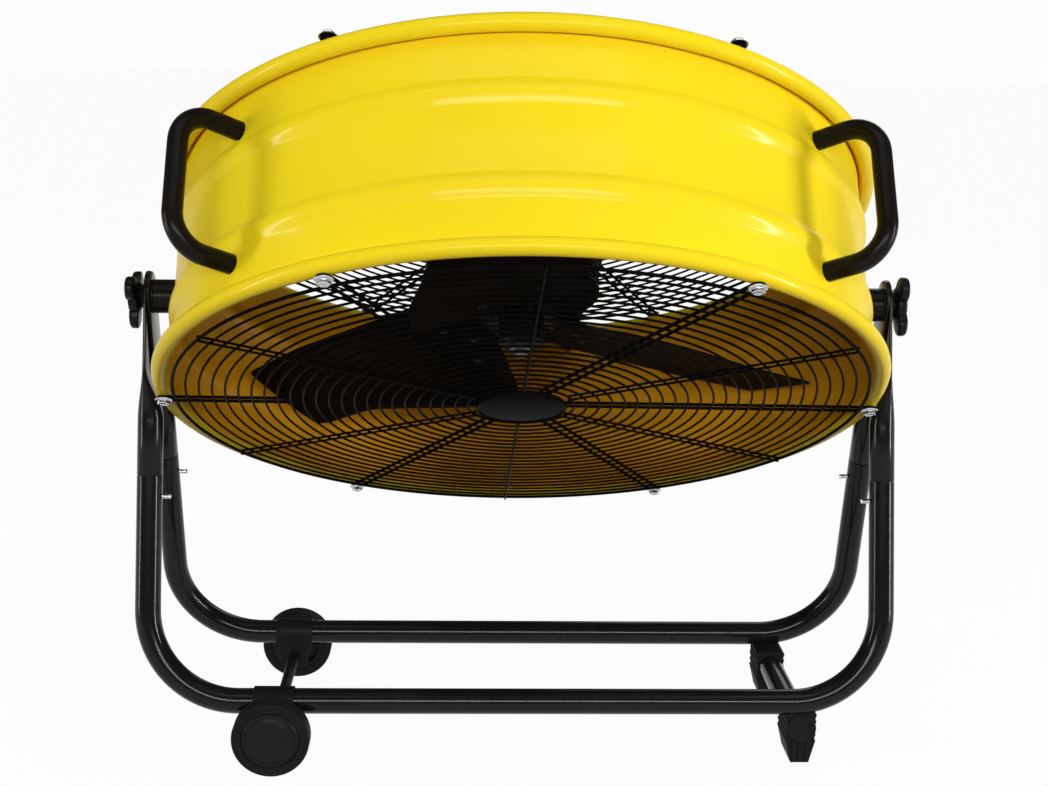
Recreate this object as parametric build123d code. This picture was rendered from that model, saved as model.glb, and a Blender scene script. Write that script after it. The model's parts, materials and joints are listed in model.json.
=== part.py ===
from build123d import *
import os
from math import cos, pi, radians, sin

# A wheeled drum fan. A round steel drum with a rolled rim at each end hangs on two
# pivots between a pair of U-shaped tube frames, and tilts all the way round.
# Millimetres. X runs across the fan, Y to the back, Z up. The origin is on the floor
# below the pivots.

# ---- the stand ----
PIVOT_HEIGHT = 430.0
TUBE_RADIUS = 12.0
LEG_OFFSET = 349.0            # tube centre line to the middle of the fan
LEG_LENGTH = 381.3            # pivot to the centre of a bottom tube, along the leg
LEG_LEAN = 13.55              # degrees from upright
BEND_RADIUS = 86.0
SPLICE = 170.0                # where a leg meets its lower frame, below the pivot
SPIGOT_RADIUS = 10.4
SPIGOT_LENGTH = 32.0
EYE_TOP = 24.0                # the flattened end above the pivot
FLAT_WIDTH = 37.0
FLAT_THICKNESS = 3.0
FLAT_END = 70.0               # where the flattening starts to open out
HALF_FLAT = 86.0
ROUND_START = 118.0
INNER_EYE_FACE = 348.0        # inner face of the rear leg's flattened end
BOLT_DROP = 189.0
BOLT_RADIUS = 2.5
BOLT_HEAD = 4.4
BOLT_END = 8.0                # the bolt's end beyond the tube
FIT = 0.05                    # radial clearance of a shaft in its hole

# ---- wheels and feet ----
WHEEL_RADIUS = 36.2
WHEEL_X = -229.5
WHEEL_INNER = 107.6
WHEEL_OUTER = 128.0
WHEEL_HUB_RADIUS = 27.0
AXLE_RADIUS = 5.5
BRACKET_WIDTH = 38.0
BRACKET_SHEET = 2.0
CROSSBAR_X = 272.0
CROSSBAR_HALF = 93.0
FOOT_INNER = 55.0
FOOT_OUTER = 97.0
FOOT_HALF = 14.5
FOOT_TOE = 9.0
FOOT_TAPER = 17.0             # height where the taper to the toe begins
FOOT_TOP = 50.0
FOOT_RIBS = 5
FOOT_DISC = 14.0

# ---- the drum ----
TILT_DOWN = 58.3              # how far the front guard faces below level
WALL_RADIUS = 322.0           # outside of the drum wall
WALL = 1.2
RIM_RADIUS = 330.0            # centre of the rolled rim
RIM_ROLL = 7.5
HALF_DEPTH = 95.0             # centre of the fan to the centre of each rim
RIM_FLATS = 8
RIB_PLACE = 40.0
RIB_HALF = 12.0
RIB_SLOPE = 5.0
RIB_HEIGHT = 4.0
RIM_FACE = HALF_DEPTH + RIM_ROLL

# ---- pivots and knobs ----
BOSS_RADIUS = 16.0
STUD_RADIUS = 6.0
WASHER = 1.8
RUN_GAP = 0.1
KNOB_NECK = 10.9
KNOB_RADIUS = 31.0
KNOB_LOBE = 11.0
KNOB_WAIST = 14.0
KNOB_HEIGHT = 13.5
KNOB_LOBES = 3

# ---- handles ----
HANDLE_TUBE = 8.5
HANDLE_HALF = 60.3
HANDLE_REACH = 378.5
HANDLE_BEND = 30.0
HANDLE_ANGLE = 41.2           # degrees up from the pivot line

# ---- guards ----
RING_COUNT = 24
RING_FIRST = 50.0
RING_LAST = 318.2
WIRE = 2.2
SPOKE_WIRE = 3.0
SPOKE_SPREAD = 5.0            # half the distance between a pair's centre lines
WELD = 0.3                    # how far crossing wires sink into each other
SCREW_CIRCLE = 329.7
SCREWS = 6
GUARD_TURN = -1.0             # degrees that the front guard sits round from level
HUB_PLATE = 45.0
BADGE_RADIUS = 42.5
SCREW_HEAD = 5.0
SCREW_FLANGE = 8.0
SCREW_SHANK = 2.4

# ---- motor and rotor, measured along the fan's axis from the pivot line ----
BRACKET_BACK = -83.0          # rear face of the motor bracket
BRACKET_PLATE = 3.0
BRACKET_HALF_WIDTH = 88.0
BRACKET_LIP = 15.0
BRACKET_TURN = -3.5           # degrees that the bracket sits round from upright
MOTOR_RADIUS = 75.0
MOTOR_FRONT = 2.0
BELL_DEPTH = 16.0
CAN_WALL = 4.0
MOTOR_BOLT_CIRCLE = 58.0
BEARING_RADIUS = 17.5
BEARING_WIDTH = 11.0
SHAFT_RADIUS = 6.35
SHAFT_END = 56.0
CORE_RADIUS = 40.0
HUB_RADIUS = 22.0
HUB_BACK = 10.0
HUB_FRONT = 44.0
BLADES = 3
FIRST_BLADE = 99.6            # degrees from the pivot line
BLADE_PITCH = 15.3
BLADE_CONE = 4.7              # how far the blades lean to the front
BLADE_CURVE = 760.0           # radius that the sheet is rolled to
BLADE_SHEET = 2.0
BLADE_PLANE = 21.0
BLADE_TIP = 303.0
ARM_SHEET = 4.0
RIVET_SHANK = 2.5
RIVET_HEAD = 4.5

# ---- controls on the back ----
BOX_RADIUS = 46.0
BOX_BACK = -112.0
BOX_WALL = 2.5
COVER_BACK = -120.0
DIAL_RADIUS = 18.0
DIAL_DEPTH = 15.0
SPINDLE_RADIUS = 3.0
GLAND_PLACE = 32.0
GLAND_RADIUS = 8.5
CORD_BORE = 3.8


# ---- helpers ----
def save(name, *solids):
    """Writes one sub-part; several equal solids are kept as one group."""
    shape = solids[0] if len(solids) == 1 else Compound(list(solids))
    export_step(shape, f"parts/{name}.step")


def on_stand(shape, lean=0):
    """Moves an upright shape, drawn about the pivot, to its leaning leg."""
    return Location((0, 0, PIVOT_HEIGHT), (lean * LEG_LEAN, 0, 0)) * shape


def in_drum(shape):
    """Moves a shape drawn about the fan's axis, with Z out of the front guard."""
    return Location((0, 0, PIVOT_HEIGHT), (90 + TILT_DOWN, 0, 0)) * shape


def turned(outline):
    """Turns an outline of (radius, height) points about Z."""
    return revolve(make_face(Plane.XZ * Polyline(*outline, close=True)), Axis.Z)


def disc(radius, low, high, bore=0.0):
    """A round disc about Z from one height to another, with or without a bore."""
    face = Circle(radius)
    if bore:
        face -= Circle(bore)
    return extrude(Pos(0, 0, low) * face, high - low)


def along_x(shape, side):
    """Turns a shape drawn along Z so that it points outward, to one side."""
    return Rot(0, 90 * side, 0) * shape


def around(shape, count, start=0.0):
    """Equal copies about Z."""
    return [Rot(0, 0, start + 360 / count * i) * shape for i in range(count)]


# ---- the stand ----
def lower_frame(lean):
    """One U of tube: a bottom run between two bends, open at its upper ends."""
    path = FilletPolyline(
        (-LEG_OFFSET, 0, -SPLICE),
        (-LEG_OFFSET, 0, -LEG_LENGTH),
        (LEG_OFFSET, 0, -LEG_LENGTH),
        (LEG_OFFSET, 0, -SPLICE),
        radius=BEND_RADIUS,
    )
    frame = sweep(Plane(path @ 0, z_dir=path % 0) * Circle(TUBE_RADIUS), path)
    for side in (-1, 1):
        frame -= Pos(side * LEG_OFFSET, 0, 0) * disc(
            SPIGOT_RADIUS + FIT, -SPLICE - SPIGOT_LENGTH, -SPLICE
        )
        frame -= leg_bolt(side, FIT, TUBE_RADIUS + 1)
    return on_stand(frame, lean)


def leg_bolt(side, slack=0.0, top=TUBE_RADIUS - 1):
    """A bolt right through the tube, its countersunk head flush with the outer side."""
    shank, end = BOLT_RADIUS + slack, -TUBE_RADIUS - BOLT_END
    bolt = turned([
        (0, end), (shank - 0.8, end), (shank, end + 0.8), (shank, TUBE_RADIUS - 3.6),
        (BOLT_HEAD + slack, TUBE_RADIUS - 1.7), (BOLT_HEAD + slack, top), (0, top),
    ])
    return Pos(side * LEG_OFFSET, 0, -BOLT_DROP) * along_x(bolt, side)


def tube_section(width, depth, x, z):
    """A tube squeezed to a width across the leg and a depth along X."""
    corner = min(width, depth) / 2 - 0.05
    return Pos(x, 0, z) * RectangleRounded(depth, width, corner)


def upper_leg(side, lean):
    """A straight tube with a flattened, drilled end and a reduced lower end."""
    eye_x = side * (INNER_EYE_FACE + FLAT_THICKNESS * (0.5 if lean > 0 else 1.5))
    tube_x = side * LEG_OFFSET
    round_tube = 2 * TUBE_RADIUS
    flat = tube_section(FLAT_WIDTH, FLAT_THICKNESS, eye_x, -FLAT_END)
    middle = tube_section(32, 14, (eye_x + tube_x) / 2, -HALF_FLAT)
    full = tube_section(round_tube, round_tube, tube_x, -ROUND_START)
    leg = loft([flat, middle, full], ruled=True)
    leg += Pos(tube_x, 0, 0) * disc(TUBE_RADIUS, -SPLICE, -ROUND_START)
    leg += Pos(tube_x, 0, 0) * disc(SPIGOT_RADIUS, -SPLICE - SPIGOT_LENGTH, -SPLICE)
    leg += eye_plate(eye_x)
    leg -= leg_bolt(side, FIT, TUBE_RADIUS + 1)
    return on_stand(leg, lean)


def eye_plate(x):
    """The flattened end: a flat strip with a round top and the pivot's hole."""
    half = FLAT_WIDTH / 2
    strip = Polyline(
        (-half, -FLAT_END), (-half, EYE_TOP - half), (half, EYE_TOP - half),
        (half, -FLAT_END), close=True,
    )
    face = make_face(strip) + Pos(0, EYE_TOP - half) * Circle(half)
    face -= Circle(STUD_RADIUS + FIT)
    return Pos(x, 0, 0) * extrude(Plane.YZ * face, FLAT_THICKNESS / 2, both=True)


def bottom_tube_y(lean):
    return lean * LEG_LENGTH * sin(radians(LEG_LEAN))


BOTTOM_Z = PIVOT_HEIGHT - LEG_LENGTH * cos(radians(LEG_LEAN))
CROSSBAR_Z = BOTTOM_Z - 2 * TUBE_RADIUS


def wheel_bracket(lean):
    """A sheet saddle over the bottom tube, with two cheeks down to the axle."""
    outer = TUBE_RADIUS + BRACKET_SHEET
    depth = BOTTOM_Z - WHEEL_RADIUS + 12
    saddle = Circle(outer) + Pos(0, -depth / 2) * Rectangle(2 * outer, depth)
    inside = Circle(TUBE_RADIUS) + Pos(0, -depth / 2) * Rectangle(2 * TUBE_RADIUS, depth)
    sheet = extrude(Plane.YZ * (saddle - inside), BRACKET_WIDTH / 2, both=True)
    sheet = Pos(WHEEL_X, bottom_tube_y(lean), BOTTOM_Z) * sheet
    half = BRACKET_WIDTH / 2
    drop = BOTTOM_Z - WHEEL_RADIUS
    cheek = FilletPolyline(
        (-half, outer), (-half, -10), (-13, -drop - 12), (13, -drop - 12),
        (half, -10), (half, outer), radius=[8, 9, 9, 8, 1, 1], close=True,
    )
    cheek = extrude(make_face(cheek) - Pos(0, -drop) * Circle(AXLE_RADIUS + FIT), 30, both=True)
    return sheet & Pos(WHEEL_X, bottom_tube_y(lean), BOTTOM_Z) * Rot(90, 0, 0) * cheek


def at_wheel(shape, side):
    """Moves a shape drawn along Z to the axle, pointing outward."""
    return Pos(WHEEL_X, 0, WHEEL_RADIUS) * Rot(-90 * side, 0, 0) * shape


def wheel_hub():
    """A moulded hub: a rim, a web set in from both faces, and a bored boss."""
    hub = turned([
        (AXLE_RADIUS + FIT, WHEEL_INNER - 2), (11, WHEEL_INNER - 2), (11, WHEEL_INNER + 8),
        (23, WHEEL_INNER + 8), (23, WHEEL_INNER + 1), (WHEEL_HUB_RADIUS, WHEEL_INNER + 1),
        (WHEEL_HUB_RADIUS, WHEEL_OUTER - 1), (22, WHEEL_OUTER), (22, WHEEL_OUTER - 5),
        (AXLE_RADIUS + FIT, WHEEL_OUTER - 5),
    ])
    return hub


def wheel_cap():
    """A domed disc that closes the hub's outer face."""
    return turned([
        (0, WHEEL_OUTER - 2), (21.9, WHEEL_OUTER - 2), (21.9, WHEEL_OUTER - 0.6),
        (14, WHEEL_OUTER + 0.6), (0, WHEEL_OUTER + 1),
    ])


def wheel_tyre():
    """A solid rubber tyre with broken edges."""
    return turned([
        (WHEEL_HUB_RADIUS, WHEEL_INNER), (34.2, WHEEL_INNER), (WHEEL_RADIUS, WHEEL_INNER + 3),
        (WHEEL_RADIUS, WHEEL_OUTER - 3), (34.2, WHEEL_OUTER), (WHEEL_HUB_RADIUS, WHEEL_OUTER),
    ])


def foot_outline():
    """Side view of a foot: a ribbed block round the crossbar that tapers to a toe."""
    pitch = (FOOT_TOP - FOOT_TAPER) / FOOT_RIBS
    flank = []
    for i in range(FOOT_RIBS):
        low = FOOT_TAPER + pitch * i
        flank += [(FOOT_HALF - 1.2, low + 0.8), (FOOT_HALF, low + pitch - 1.2)]
    left = [(-x, z) for x, z in reversed(flank)]
    return [(-FOOT_TOE, 0), (FOOT_TOE, 0)] + flank + [(11, FOOT_TOP + 1), (-11, FOOT_TOP + 1)] + left


def rubber_foot(lean):
    """The rubber boot on one end of the crossbar, notched under the frame tube."""
    block = extrude(make_face(Polyline(*foot_outline(), close=True)), FOOT_OUTER - FOOT_INNER)
    foot = Pos(CROSSBAR_X, FOOT_OUTER, 0) * Rot(90, 0, 0) * block
    on_crossbar = Pos(CROSSBAR_X, 0, CROSSBAR_Z) * Rot(-90, 0, 0)
    foot += on_crossbar * disc(FOOT_DISC, FOOT_OUTER, FOOT_OUTER + 2)
    foot -= on_crossbar * disc(TUBE_RADIUS, 0, CROSSBAR_HALF)
    run = disc(TUBE_RADIUS + 0.2, -60, 60)
    foot -= Pos(CROSSBAR_X, bottom_tube_y(1), BOTTOM_Z) * Rot(0, 90, 0) * run
    return foot if lean > 0 else mirror(foot, about=Plane.XZ)


def build_stand():
    for lean, name in ((-1, "front"), (1, "rear")):
        save(f"lower_frame_{name}", lower_frame(lean))
        save(f"leg_{name}_left", upper_leg(-1, lean))
        save(f"leg_{name}_right", upper_leg(1, lean))
        save(f"wheel_bracket_{name}", wheel_bracket(lean))
        save(f"wheel_hub_{name}", at_wheel(wheel_hub(), lean))
        save(f"wheel_cap_{name}", at_wheel(wheel_cap(), lean))
        save(f"tyre_{name}", at_wheel(wheel_tyre(), lean))
        save(f"rubber_foot_{name}", rubber_foot(lean))
    save("leg_bolts", *(on_stand(leg_bolt(side), lean) for side in (-1, 1) for lean in (-1, 1)))
    axle_half = WHEEL_OUTER - 7
    save("wheel_axle", at_wheel(disc(AXLE_RADIUS, -axle_half, axle_half), 1))
    crossbar = disc(TUBE_RADIUS, -CROSSBAR_HALF, CROSSBAR_HALF)
    save("foot_crossbar", Pos(CROSSBAR_X, 0, CROSSBAR_Z) * Rot(90, 0, 0) * crossbar)


# ---- the drum ----
def rim_points(side):
    """The rolled rim as a ring of flats, from the wall's outside to its inside."""
    first, last = (210, 540) if side > 0 else (-540, -210)
    step = (last - first) / RIM_FLATS
    turns = [radians(first + step * i) for i in range(RIM_FLATS + 1)]
    return [
        (RIM_RADIUS + RIM_ROLL * cos(t), side * HALF_DEPTH + RIM_ROLL * sin(t)) for t in turns
    ]


def rib_points(radius, place):
    """A raised band pressed into the wall."""
    return [
        (radius, place - RIB_HALF), (radius + RIB_HEIGHT, place - RIB_HALF + RIB_SLOPE),
        (radius + RIB_HEIGHT, place + RIB_HALF - RIB_SLOPE), (radius, place + RIB_HALF),
    ]


def wall_line(radius):
    """One side of the wall, from the rear rim to the front rim."""
    end = HALF_DEPTH - RIM_ROLL
    ribs = rib_points(radius, -RIB_PLACE) + rib_points(radius, RIB_PLACE)
    return [(radius, -end)] + ribs + [(radius, end)]


def drum_shell():
    """The wall with its two pressed bands and a rolled rim at each end."""
    inside = list(reversed(wall_line(WALL_RADIUS - WALL)))
    return turned(wall_line(WALL_RADIUS) + rim_points(1) + inside + rim_points(-1))


def drum_core():
    """The space inside the drum's outer surface, to trim what is welded to it."""
    line = wall_line(WALL_RADIUS)
    return turned([(0, line[0][1])] + line + [(0, line[-1][1])])


def handle(side):
    """A bent tube grip whose ends are welded to the wall."""
    path = FilletPolyline(
        (WALL_RADIUS - 6, 0, -HANDLE_HALF), (HANDLE_REACH, 0, -HANDLE_HALF),
        (HANDLE_REACH, 0, HANDLE_HALF), (WALL_RADIUS - 6, 0, HANDLE_HALF),
        radius=HANDLE_BEND,
    )
    grip = sweep(Plane(path @ 0, z_dir=path % 0) * Circle(HANDLE_TUBE), path)
    turn = HANDLE_ANGLE if side > 0 else 180 - HANDLE_ANGLE
    return in_drum(Rot(0, 0, turn) * grip - drum_core())


def at_pivot(shape, side):
    """Moves a shape drawn along Z from the middle of the fan to one pivot."""
    return Pos(0, 0, PIVOT_HEIGHT) * along_x(shape, side)


BOSS_END = INNER_EYE_FACE - RUN_GAP - WASHER
OUTER_EYE_FACE = INNER_EYE_FACE + 2 * FLAT_THICKNESS
KNOB_START = OUTER_EYE_FACE + 2 * RUN_GAP + WASHER


def pivot_boss(side):
    """A short thick tube welded to the wall."""
    boss = disc(BOSS_RADIUS, WALL_RADIUS - 6, BOSS_END, STUD_RADIUS)
    return in_drum(along_x(boss, side) - drum_core())


def pivot_stud(side):
    """The threaded pin that the leg ends turn on and the knob screws onto."""
    return at_pivot(disc(STUD_RADIUS, WALL_RADIUS + 1, KNOB_START + 10), side)


def washers(side):
    """A friction washer each side of the two leg ends."""
    low = OUTER_EYE_FACE + RUN_GAP
    inner = disc(BOSS_RADIUS, BOSS_END, BOSS_END + WASHER, STUD_RADIUS + FIT)
    outer = disc(BOSS_RADIUS - 2, low, low + WASHER, STUD_RADIUS + FIT)
    return at_pivot(inner, side), at_pivot(outer, side)


def knob(side):
    """A three-lobed clamping knob that flares from a round neck, bored for the stud."""
    lobe = Pos(KNOB_RADIUS - KNOB_LOBE, 0) * Circle(KNOB_LOBE)
    star = Circle(KNOB_WAIST)
    for turned_lobe in around(lobe, KNOB_LOBES, 90 if side > 0 else 180):
        star += turned_lobe
    star = fillet(star.vertices(), 4)
    rim, top = KNOB_RADIUS + 1, KNOB_START + KNOB_HEIGHT
    flare = turned([
        (0, KNOB_START), (KNOB_NECK, KNOB_START), (KNOB_NECK, KNOB_START + 1.5),
        (12.5, KNOB_START + 3.2), (16, KNOB_START + 4.5), (22, KNOB_START + 5.4),
        (rim, KNOB_START + 6.2), (rim, top), (0, top),
    ])
    body = flare & extrude(Pos(0, 0, KNOB_START) * star, KNOB_HEIGHT)
    body = fillet(body.faces().sort_by(Axis.Z)[-1].edges(), 1.5)
    body -= disc(STUD_RADIUS + FIT, KNOB_START, KNOB_START + 10.5)
    return at_pivot(body, side)


# ---- guards ----
RING_BACK = RIM_FACE + SPOKE_WIRE - WELD
RING_FRONT = RING_BACK + WIRE


def ring(radius):
    """One ring of wire, drawn with flat sides."""
    sides = 12 if radius < 200 else 24
    half = WIRE / 2
    face = RegularPolygon(radius + half, sides) - RegularPolygon(radius - half, sides)
    return extrude(Pos(0, 0, RING_BACK) * face, WIRE)


def ring_radii(inside):
    """The evenly stepped rings that lie outside a given radius."""
    gap = (RING_LAST - RING_FIRST) / (RING_COUNT - 1)
    radii = [RING_FIRST + gap * i for i in range(RING_COUNT)]
    return [radius for radius in radii if radius > inside]


def looped_spoke(inner):
    """A pair of spokes bent from one wire, looped round a screw at the rim."""
    outside = SPOKE_SPREAD + SPOKE_WIRE / 2
    span = SCREW_CIRCLE - inner
    face = SlotCenterToCenter(span, 2 * outside)
    face -= SlotCenterToCenter(span, 2 * (outside - SPOKE_WIRE))
    return extrude(Pos((SCREW_CIRCLE + inner) / 2, 0, RIM_FACE) * face, SPOKE_WIRE)


def clamping_spoke(inner):
    """Two straight wires, one behind the rings and one in front of them."""
    length = RING_LAST - inner
    place = Pos((RING_LAST + inner) / 2, 0, RING_BACK + WIRE / 2)
    step = WIRE - WELD
    return [place * Pos(0, 0, z) * Box(length, WIRE, WIRE) for z in (-step, step)]


def wire_guard(clear):
    """Rings welded across looped and clamping spokes, outside a clear radius."""
    loop_inner = clear + SPOKE_SPREAD + SPOKE_WIRE
    parts = [ring(radius) for radius in ring_radii(clear)]
    parts += around(looped_spoke(loop_inner), SCREWS)
    for wire in clamping_spoke(ring_radii(clear)[0] - WIRE):
        parts += around(wire, SCREWS, 180 / SCREWS)
    if clear < HUB_PLATE:
        parts.append(disc(HUB_PLATE, RING_BACK, RING_FRONT))
    solids = [solid for part in parts for solid in part.solids()]
    return solids[0].fuse(*solids[1:])


def rear_side(shape):
    """Turns a shape of the front over, to the rear of the drum."""
    return Rot(180, 0, 0) * shape


def guard_screws(start=0.0):
    """Hexagon screws with a round flange, driven into the rim."""
    top = RIM_FACE + SPOKE_WIRE
    screw = disc(SCREW_SHANK, HALF_DEPTH, top)
    screw += extrude(Pos(0, 0, top) * RegularPolygon(SCREW_FLANGE, 12), 1.2)
    screw += extrude(Pos(0, 0, top + 1.2) * RegularPolygon(SCREW_HEAD, 6), 3.6)
    return around(Pos(SCREW_CIRCLE, 0, 0) * screw, SCREWS, start)


def badge():
    """The shallow blank disc in the middle of the front guard."""
    return turned([
        (0, RING_FRONT), (BADGE_RADIUS, RING_FRONT), (BADGE_RADIUS, RING_FRONT + 1.4),
        (BADGE_RADIUS - 3, RING_FRONT + 2.4), (0, RING_FRONT + 3),
    ])


# ---- motor ----
BRACKET_FRONT = BRACKET_BACK + BRACKET_PLATE
CAN_BACK = BRACKET_FRONT + BELL_DEPTH
CAN_FRONT = MOTOR_FRONT - BELL_DEPTH


def motor_bracket():
    """A slotted channel across the drum, its ends welded to the wall."""
    width, length = 2 * BRACKET_HALF_WIDTH, 2 * WALL_RADIUS
    channel = extrude(Pos(0, 0, BRACKET_BACK) * Rectangle(width, length), BRACKET_LIP)
    inside = Rectangle(width - 2 * BRACKET_PLATE, length)
    channel -= extrude(Pos(0, 0, BRACKET_FRONT) * inside, BRACKET_LIP)
    channel &= disc(WALL_RADIUS - WALL, BRACKET_BACK, BRACKET_BACK + BRACKET_LIP)
    slot = Rot(0, 0, 90) * SlotOverall(80, 18)
    slots = [Pos(x, y) * slot for x in (-54, -18, 18, 54) for y in (-170, 170)]
    for slot in slots:
        channel -= extrude(Pos(0, 0, BRACKET_BACK) * slot, BRACKET_PLATE)
    return Rot(0, 0, BRACKET_TURN) * channel - motor_bolts(FIT)


def motor_bolts(slack=0.0):
    """Four bolts from behind the bracket into the rear end bell."""
    bolt = disc(3 + slack, BRACKET_BACK, BRACKET_FRONT + 10)
    if not slack:
        bolt += extrude(Pos(0, 0, BRACKET_BACK - 4) * RegularPolygon(5.8, 6), 4)
    return around(Pos(MOTOR_BOLT_CIRCLE, 0, 0) * bolt, 4, 45 + BRACKET_TURN)


def motor_rear_bell():
    """The end casting against the bracket, with a pocket for the rear bearing."""
    bell = turned([
        (0, BRACKET_FRONT), (MOTOR_RADIUS - 6, BRACKET_FRONT), (MOTOR_RADIUS, BRACKET_FRONT + 6),
        (MOTOR_RADIUS, CAN_BACK), (0, CAN_BACK),
    ])
    bell -= disc(BEARING_RADIUS, CAN_BACK - BEARING_WIDTH, CAN_BACK)
    for bolt in motor_bolts(FIT):
        bell -= bolt
    return bell


def motor_front_bell():
    """The front end casting, with a raised boss round the shaft."""
    bell = turned([
        (0, CAN_FRONT), (MOTOR_RADIUS, CAN_FRONT), (MOTOR_RADIUS, CAN_FRONT + 8),
        (MOTOR_RADIUS - 10, MOTOR_FRONT), (24, MOTOR_FRONT), (20, MOTOR_FRONT + 7),
        (0, MOTOR_FRONT + 7),
    ])
    bell -= disc(BEARING_RADIUS, CAN_FRONT, CAN_FRONT + BEARING_WIDTH)
    return bell - disc(SHAFT_RADIUS + 1, CAN_FRONT, MOTOR_FRONT + 7)


def bearing(low):
    return disc(BEARING_RADIUS, low, low + BEARING_WIDTH, SHAFT_RADIUS + FIT)


# ---- rotor ----
def rolled(inside, thickness):
    """A long sheet rolled to the blade's curve, its front face through the origin."""
    sheet = Circle(inside + thickness) - Circle(inside)
    return Pos(0, 0, BLADE_CURVE) * Rot(0, 90, 0) * extrude(sheet, BLADE_TIP + 10)


def cut_from(sheet, outline, radii):
    """What an outline, seen along the fan's axis, cuts from a rolled sheet."""
    face = make_face(FilletPolyline(*outline, radius=radii, close=True))
    return sheet & extrude(face, 60, both=True)


def pitched(shape, turn):
    """Sets a shape of the blade at its pitch and lean, at its place round the hub."""
    lean = Rot(0, 0, turn) * Pos(0, 0, BLADE_PLANE) * Rot(0, -BLADE_CONE, 0)
    return lean * Rot(BLADE_PITCH, 0, 0) * shape


def blade():
    """A broad paddle with a narrow root, cut from curved sheet."""
    outline = [
        (38, -10), (62, -72), (220, -81), (BLADE_TIP + 5, -74), (BLADE_TIP + 5, 38),
        (230, 42), (130, 88), (70, 94), (38, 10),
    ]
    radii = [5, 20, 120, 14, 14, 70, 60, 18, 5]
    paddle = cut_from(rolled(BLADE_CURVE, BLADE_SHEET), outline, radii)
    paddle &= disc(BLADE_TIP, -60, 60)
    return paddle - rivets(0)


def rivets(head=RIVET_HEAD):
    """Three rivets through a blade and its arm, or their holes."""
    back = BLADE_SHEET + ARM_SHEET
    made = []
    for along, across in ((74.5, -27), (74.5, 27), (57, 0)):
        rivet = disc(RIVET_SHANK, -back, 0)
        if head:
            rivet += turned([(0, 0), (head, FIT), (head - 1, 1.6), (0, 2.4)])
            rivet += disc(head, -back - 1.5, -back - FIT) + disc(RIVET_SHANK, -back - 1, -back)
        turn = across / BLADE_CURVE
        swing = Pos(0, 0, BLADE_CURVE) * Rot(turn * 180 / pi, 0, 0) * Pos(0, 0, -BLADE_CURVE)
        made.append(swing * Pos(along, 0, 0) * rivet)
    return made


def spider():
    """The hub and its three pitched arms, which lie behind the blades."""
    outline = [(0, -16), (36, -16), (52, -37), (84, -37), (84, 37), (52, 37), (36, 16), (0, 16)]
    sheet = rolled(BLADE_CURVE + BLADE_SHEET, ARM_SHEET)
    arm = cut_from(sheet, outline, [0.5, 10, 6, 10, 10, 6, 10, 0.5])
    for hole in rivets(0):
        arm -= hole
    whole = disc(HUB_RADIUS, HUB_BACK, HUB_FRONT)
    for i in range(BLADES):
        whole += pitched(arm, FIRST_BLADE + 360 / BLADES * i)
    return whole - disc(SHAFT_RADIUS + FIT / 2, HUB_BACK, HUB_FRONT)


def build_rotor():
    save("rotor_shaft", in_drum(disc(SHAFT_RADIUS, CAN_BACK - BEARING_WIDTH + 1, SHAFT_END)))
    core = disc(CORE_RADIUS, CAN_BACK + 8, CAN_FRONT - 8, SHAFT_RADIUS)
    save("rotor_core", in_drum(core))
    save("fan_spider", in_drum(spider()))
    nut = extrude(Pos(0, 0, HUB_FRONT) * RegularPolygon(11, 6), 7) - disc(SHAFT_RADIUS, 0, SHAFT_END)
    save("hub_nut", in_drum(nut))
    paddle, pins = blade(), rivets()
    turns = [FIRST_BLADE + 360 / BLADES * i for i in range(BLADES)]
    for i, turn in enumerate(turns):
        save(f"blade_{i + 1}", in_drum(pitched(paddle, turn)))
    save("blade_rivets", *(in_drum(pitched(pin, turn)) for turn in turns for pin in pins))


# ---- controls ----
def control_box():
    """A round cup on the back of the bracket, reached through the rear guard."""
    box = disc(BOX_RADIUS, BOX_BACK, BRACKET_BACK)
    return box - disc(BOX_RADIUS - BOX_WALL, BOX_BACK, BRACKET_BACK - BOX_WALL)


def control_cover():
    """The cup's lid, with holes for the switch and the cord's gland."""
    lid = turned([
        (0, BOX_BACK), (BOX_RADIUS, BOX_BACK), (BOX_RADIUS, COVER_BACK + 4),
        (BOX_RADIUS - 4, COVER_BACK), (0, COVER_BACK),
    ])
    lid -= disc(SPINDLE_RADIUS + FIT, COVER_BACK, BOX_BACK)
    return lid - Pos(0, -GLAND_PLACE, 0) * disc(GLAND_RADIUS - 2, COVER_BACK, BOX_BACK)


def speed_switch():
    """The rotary switch behind the lid."""
    body = extrude(Pos(0, 0, BOX_BACK) * RectangleRounded(26, 30, 3), 20)
    return body - disc(SPINDLE_RADIUS + FIT, BOX_BACK, BOX_BACK + 12)


def speed_dial():
    """A round dial with a raised grip bar, on the switch's spindle."""
    back = COVER_BACK - 0.5
    dial = turned([
        (0, back), (DIAL_RADIUS, back), (DIAL_RADIUS - 1.5, back - 6), (0, back - 6),
    ])
    dial += extrude(Pos(0, 0, back - DIAL_DEPTH) * SlotOverall(2 * DIAL_RADIUS - 5, 8), DIAL_DEPTH)
    return dial + disc(SPINDLE_RADIUS, back - 1, BOX_BACK + 10)


def cord_gland():
    """The bored collar that the mains cord would leave by."""
    gland = turned([
        (CORD_BORE, BOX_BACK + 4), (GLAND_RADIUS - 2, BOX_BACK + 4), (GLAND_RADIUS - 2, COVER_BACK),
        (GLAND_RADIUS, COVER_BACK), (GLAND_RADIUS, COVER_BACK - 7),
        (GLAND_RADIUS - 3, COVER_BACK - 16), (CORD_BORE, COVER_BACK - 16),
    ])
    return Pos(0, -GLAND_PLACE, 0) * gland


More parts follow.
